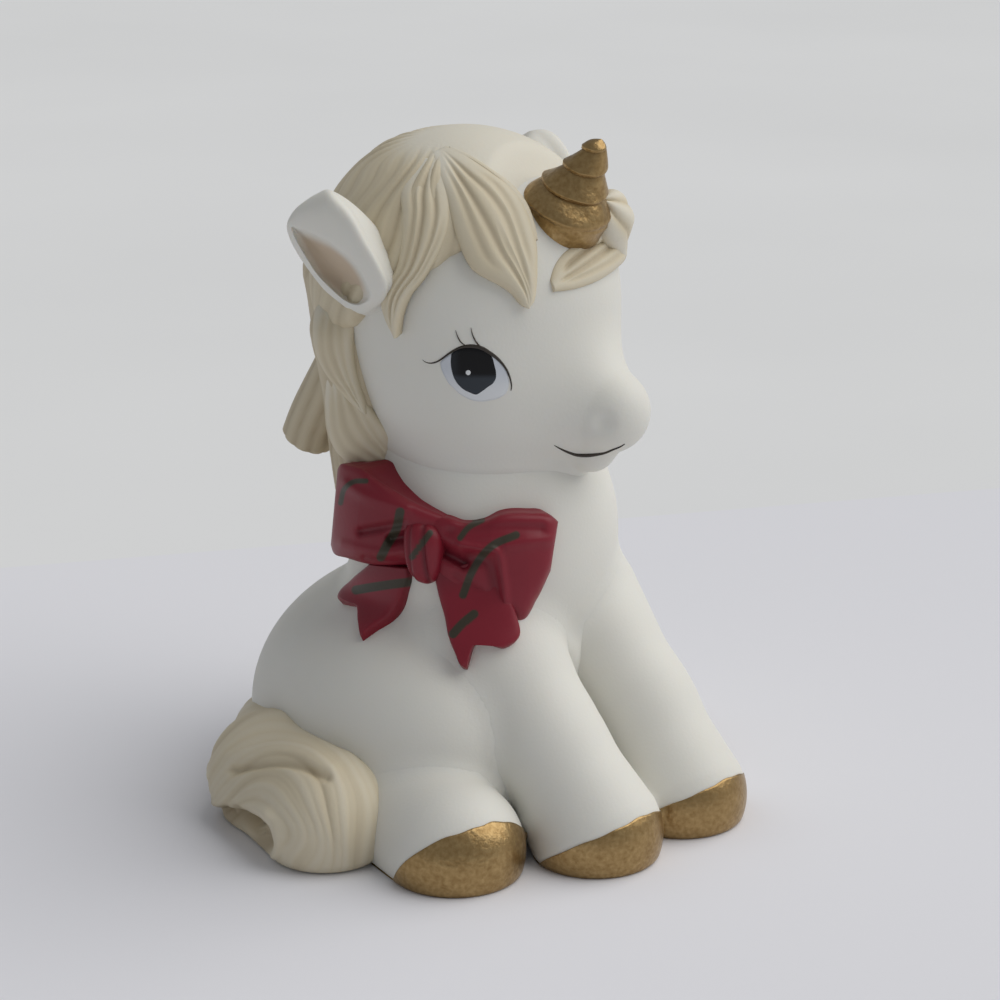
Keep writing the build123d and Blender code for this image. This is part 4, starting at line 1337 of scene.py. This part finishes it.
def on_neck(picture, radius):
    """Where lines of sight first meet upright rounds of the neck's axis, as wide as radius."""
    aim = sight(picture)
    start = CAMERA_PLACE[:2] - NECK_AXIS
    a = (aim[..., :2] ** 2).sum(-1)
    b = aim[..., :2] @ start
    c = start @ start - radius**2
    return CAMERA_PLACE + aim * ((-b - np.sqrt(np.clip(b * b - a * c, 0, None))) / a)[..., None]


def loop_part(top, bottom, edge_radius, crest_radius, folds):
    """A loop of the bow between a top and a bottom line of the picture, from the knot outwards:
    a pad round the neck that swells from its edges, creased by folds; its back is sunk."""
    s, t, flat = net_between(top, bottom, LOOP_ROWS, LOOP_COLUMNS)
    low = np.interp(s, np.linspace(0, 1, len(edge_radius)), edge_radius)[:, None]
    high = np.interp(s, np.linspace(0, 1, len(crest_radius)), crest_radius)[:, None]
    swell = np.clip(1 - np.abs(t) ** 5, 0, 1) ** 0.5
    end = np.sqrt(np.clip(1 - s**24, 0, 1))[:, None]
    pleats = near_lines(flat, folds)
    radius = low + (high - low) * swell * (0.4 + 0.6 * end) + pleats * swell
    radius = np.maximum(radius, FLAT_ON_NECK)
    upper = on_neck(flat, radius)
    arm = upper[..., :2] - NECK_AXIS
    inner = NECK_AXIS + unit(arm) * BOW_BACK
    under = np.concatenate([inner, upper[..., 2:]], -1)[:, ::-1]
    # painted shade: the creases of the folds are darkened
    dark = np.clip(-0.60 * pleats, 0, 1)
    marks = np.concatenate([dark, dark[:, ::-1]], 1)
    return striped(closed(np.concatenate([upper, under], 1), {"wash_and_shade": marks}))


BACK_TOP = [(446, 516), (428, 508), (414, 501), (395, 490), (376, 478), (362, 468.5), (350, 465),
            (341, 464), (337, 470)]
BACK_BOTTOM = [(440, 574), (420, 569), (407, 566), (390, 566.5), (376, 565.5), (360, 562), (347, 558),
               (334, 553.5), (330.5, 544)]
BACK_FOLDS = [([(414, 536), (402, 537), (392, 539)], 6.5, -1.1),
              ([(402, 524), (384, 527), (362, 531)], 5.0, -0.55),
              ([(408, 552), (385, 554), (360, 550), (342, 545)], 6.0, 0.35),
              ([(406, 508), (385, 503), (362, 495), (345, 484)], 6.0, 0.35),
              ([(404, 562), (385, 561), (365, 558)], 3.5, -0.35)]
FRONT_TOP = [(420, 512), (434, 515), (448, 516.5), (464, 521.5), (484, 520), (501, 513.5),
             (529.8, 512), (549, 514), (559, 522)]
FRONT_BOTTOM = [(412, 572), (428, 577), (443, 585), (462, 597), (482, 606.5), (506, 619), (519, 623.5),
                (537, 599), (551, 570)]
FRONT_FOLDS = [([(442, 550), (454, 557), (464, 563)], 6.5, -1.2),
               ([(460, 545), (480, 549), (496, 551), (502, 574), (505, 604)], 4.5, 0.5),
               ([(470, 556), (487, 562), (494, 580), (496, 600)], 7.0, -0.55),
               ([(450, 531), (478, 529), (508, 527), (540, 528)], 6.0, -0.35),
               ([(508, 546), (532, 542), (552, 540)], 6.0, 0.35),
               ([(455, 575), (475, 590), (500, 610)], 5.0, -0.35)]
# Distance from the neck's axis to a loop's edges and to its crest, from the knot outwards
BACK_EDGE, BACK_CREST = [16.6, 16.8, 17.6, 19.0, 19.7], [17.8, 18.9, 19.4, 20.0, 20.3]
FRONT_EDGE, FRONT_CREST = [16.6, 16.7, 16.9, 17.2, 17.6], [17.8, 19.0, 19.4, 19.4, 19.2]
make("bow_back_loop", [loop_part(BACK_TOP, BACK_BOTTOM, BACK_EDGE, BACK_CREST, BACK_FOLDS)],
     CRIMSON)
make("bow_front_loop", [loop_part(FRONT_TOP, FRONT_BOTTOM, FRONT_EDGE, FRONT_CREST, FRONT_FOLDS)],
     CRIMSON)


def knot_part():
    """The knot: a barrel round the neck with pleats and soft ends."""
    u = np.linspace(0, math.pi, KNOT_ROWS)[:, None]
    v = np.linspace(0, 2 * math.pi, KNOT_COLUMNS, endpoint=False)[None]
    tall = KNOT_HALF_HEIGHT * np.sign(np.cos(u)) * np.abs(np.cos(u)) ** 0.8 + 0 * v
    ring = np.sin(u) ** 0.65
    wide = (2.45 + 0.12 * tall) * ring * np.sign(np.cos(v)) * np.abs(np.cos(v)) ** 0.75
    deep = 2.5 * ring * np.sign(np.sin(v)) * np.abs(np.sin(v)) ** 0.8
    pleat = (0.45 * np.exp(-((wide - 0.7 + 0.10 * tall) / 0.30) ** 2)
             + 0.30 * np.exp(-((wide + 1.1 + 0.05 * tall) / 0.26) ** 2))
    radius = KNOT_RADIUS + deep - np.where(deep > 0, pleat * ring, 0)
    angle = KNOT_ANGLE + wide / 18.0
    points = np.stack([NECK_AXIS[0] + radius * np.sin(angle), NECK_AXIS[1] - radius * np.cos(angle),
                       KNOT_HEIGHT + tall - 0.16 * wide], -1)
    # painted shade: the dents of the front pleats are darkened
    return striped(closed(points, {"wash_and_shade": np.clip(1.3 * pleat, 0, 1) * (deep > 0)}))


make("bow_knot", [knot_part()], CRIMSON)


def bed_form(p):
    """What the bow's tails lie on."""
    return melt(BED_MELT, trunk_form(p), foreleg_form(p, -1))


def ribbon_rise(s, t):
    """A ribbon's height: flat with crisp edges."""
    return (RIBBON_THICK * np.clip(1 - np.abs(t) ** 12, 0, 1) ** 0.35
            * np.clip(1 - s**30, 0, 1) ** 0.4)


def ribbon_shade(s, t):
    """Painted shade: darker towards the knot."""
    return 0.35 * smooth(-s, -0.3, 0.0)


BACK_TAIL = ([(375, 562), (356, 580), (343, 604), (350, 606), (359, 608), (361, 625), (363, 641)],
             [(412, 566), (412, 578), (408, 592), (400, 610), (390, 622), (376, 632), (363.5, 641)])
FRONT_TAIL = ([(436, 572), (440, 592), (446, 616), (450, 638), (456, 654), (463, 668), (466, 669)],
              [(486, 556), (504, 588), (514, 612), (517, 640), (506, 648), (478, 643), (467, 669)])
for label, (left_edge, right_edge) in (("bow_back_tail", BACK_TAIL), ("bow_front_tail", FRONT_TAIL)):
    ribbon = leaf(bed_form, left_edge, right_edge, 110, 70, ribbon_rise, ribbon_shade)
    make(label, [striped(ribbon)], CRIMSON)

# Stage, light and camera
def cloth_material(name, first, second, scale):
    """Matt cloth with broad faint patches."""
    material, tree, shader = new_material(name)
    place = add_node(tree, "ShaderNodeTexCoord")
    patches = add_node(tree, "ShaderNodeTexNoise")
    fill(patches, {"Scale": scale, "Detail": 3})
    tree.links.new(place.outputs["Object"], patches.inputs["Vector"])
    colour = colour_mix(tree, patches.outputs["Fac"], first, second)
    return finished(material, tree, shader, colour, Roughness=0.9)


floor_material = cloth_material("pale sheet", SHEET, SHEET_CLOUD, 3.0)
far_material = cloth_material("pale cloth", CLOTH, CLOTH_CLOUD, 7.0)


def flat_stage(name, corners, height, material):
    """A flat four-cornered sheet of the stage."""
    mesh = bpy.data.meshes.new(name)
    mesh.from_pydata([(x * MM, y * MM, height * MM) for x, y in corners], [], [(0, 1, 2, 3)])
    mesh.materials.append(material)
    sheet = bpy.data.objects.new(name, mesh)
    bpy.context.scene.collection.objects.link(sheet)


def ground_point(x, y):
    """Where a line of sight meets the floor."""
    aim = sight(spot(x, y))
    return (CAMERA_PLACE - aim * CAMERA_PLACE[2] / aim[2])[:2]


BEYOND = 2500                 # how far the sheet goes past the picture on each side
SHEET_NEAR = 2600
EDGE_LEFT, EDGE_RIGHT = 568, 488
EDGE_SLOPE = 0.08
WIDE = 6000.0
sheet_corners = [ground_point(-BEYOND, SHEET_NEAR), ground_point(PICTURE + BEYOND, SHEET_NEAR),
                 ground_point(PICTURE + BEYOND, EDGE_RIGHT - EDGE_SLOPE * BEYOND),
                 ground_point(-BEYOND, EDGE_LEFT + EDGE_SLOPE * BEYOND)]
flat_stage("table_sheet", sheet_corners, 0.0, floor_material)
flat_stage("far_cloth", [(-WIDE, -WIDE), (WIDE, -WIDE), (WIDE, WIDE), (-WIDE, WIDE)], -1.0,
           far_material)

WORLD_LIGHT = 0.31
SUN_LIGHT = 2.0
SUN_SPREAD = math.radians(72)
SUN_RIGHT, SUN_AHEAD, SUN_UP = 0.64, 0.10, 0.76
world = bpy.data.worlds.new("studio")
bpy.context.scene.world = world
world.use_nodes = True
fill(world.node_tree.nodes["Background"], {"Color": SKY_COLOUR, "Strength": WORLD_LIGHT})

sun_data = bpy.data.lights.new("window", "SUN")
sun_data.angle = SUN_SPREAD
sun_data.energy = SUN_LIGHT
sun_data.color = SUN_COLOUR
window = bpy.data.objects.new("window", sun_data)
bpy.context.scene.collection.objects.link(window)
level_look = unit(look * spot(1, 1, 0))
to_window = unit(SUN_RIGHT * look_right + SUN_AHEAD * level_look + SUN_UP * spot(0, 0, 1))
window.rotation_euler = Vector(-to_window).to_track_quat("-Z", "Y").to_euler()

camera_data = bpy.data.cameras.new("camera")
camera_data.sensor_width = SENSOR
camera_data.lens = FOCAL * SENSOR / PICTURE
camera_data.clip_end = CAMERA_FAR
camera = bpy.data.objects.new("camera", camera_data)
bpy.context.scene.collection.objects.link(camera)
camera.location = Vector(CAMERA_PLACE) * MM
camera.rotation_euler = Vector(look).to_track_quat("-Z", "Y").to_euler()
bpy.context.scene.camera = camera
bpy.context.scene.view_settings.view_transform = "Standard"
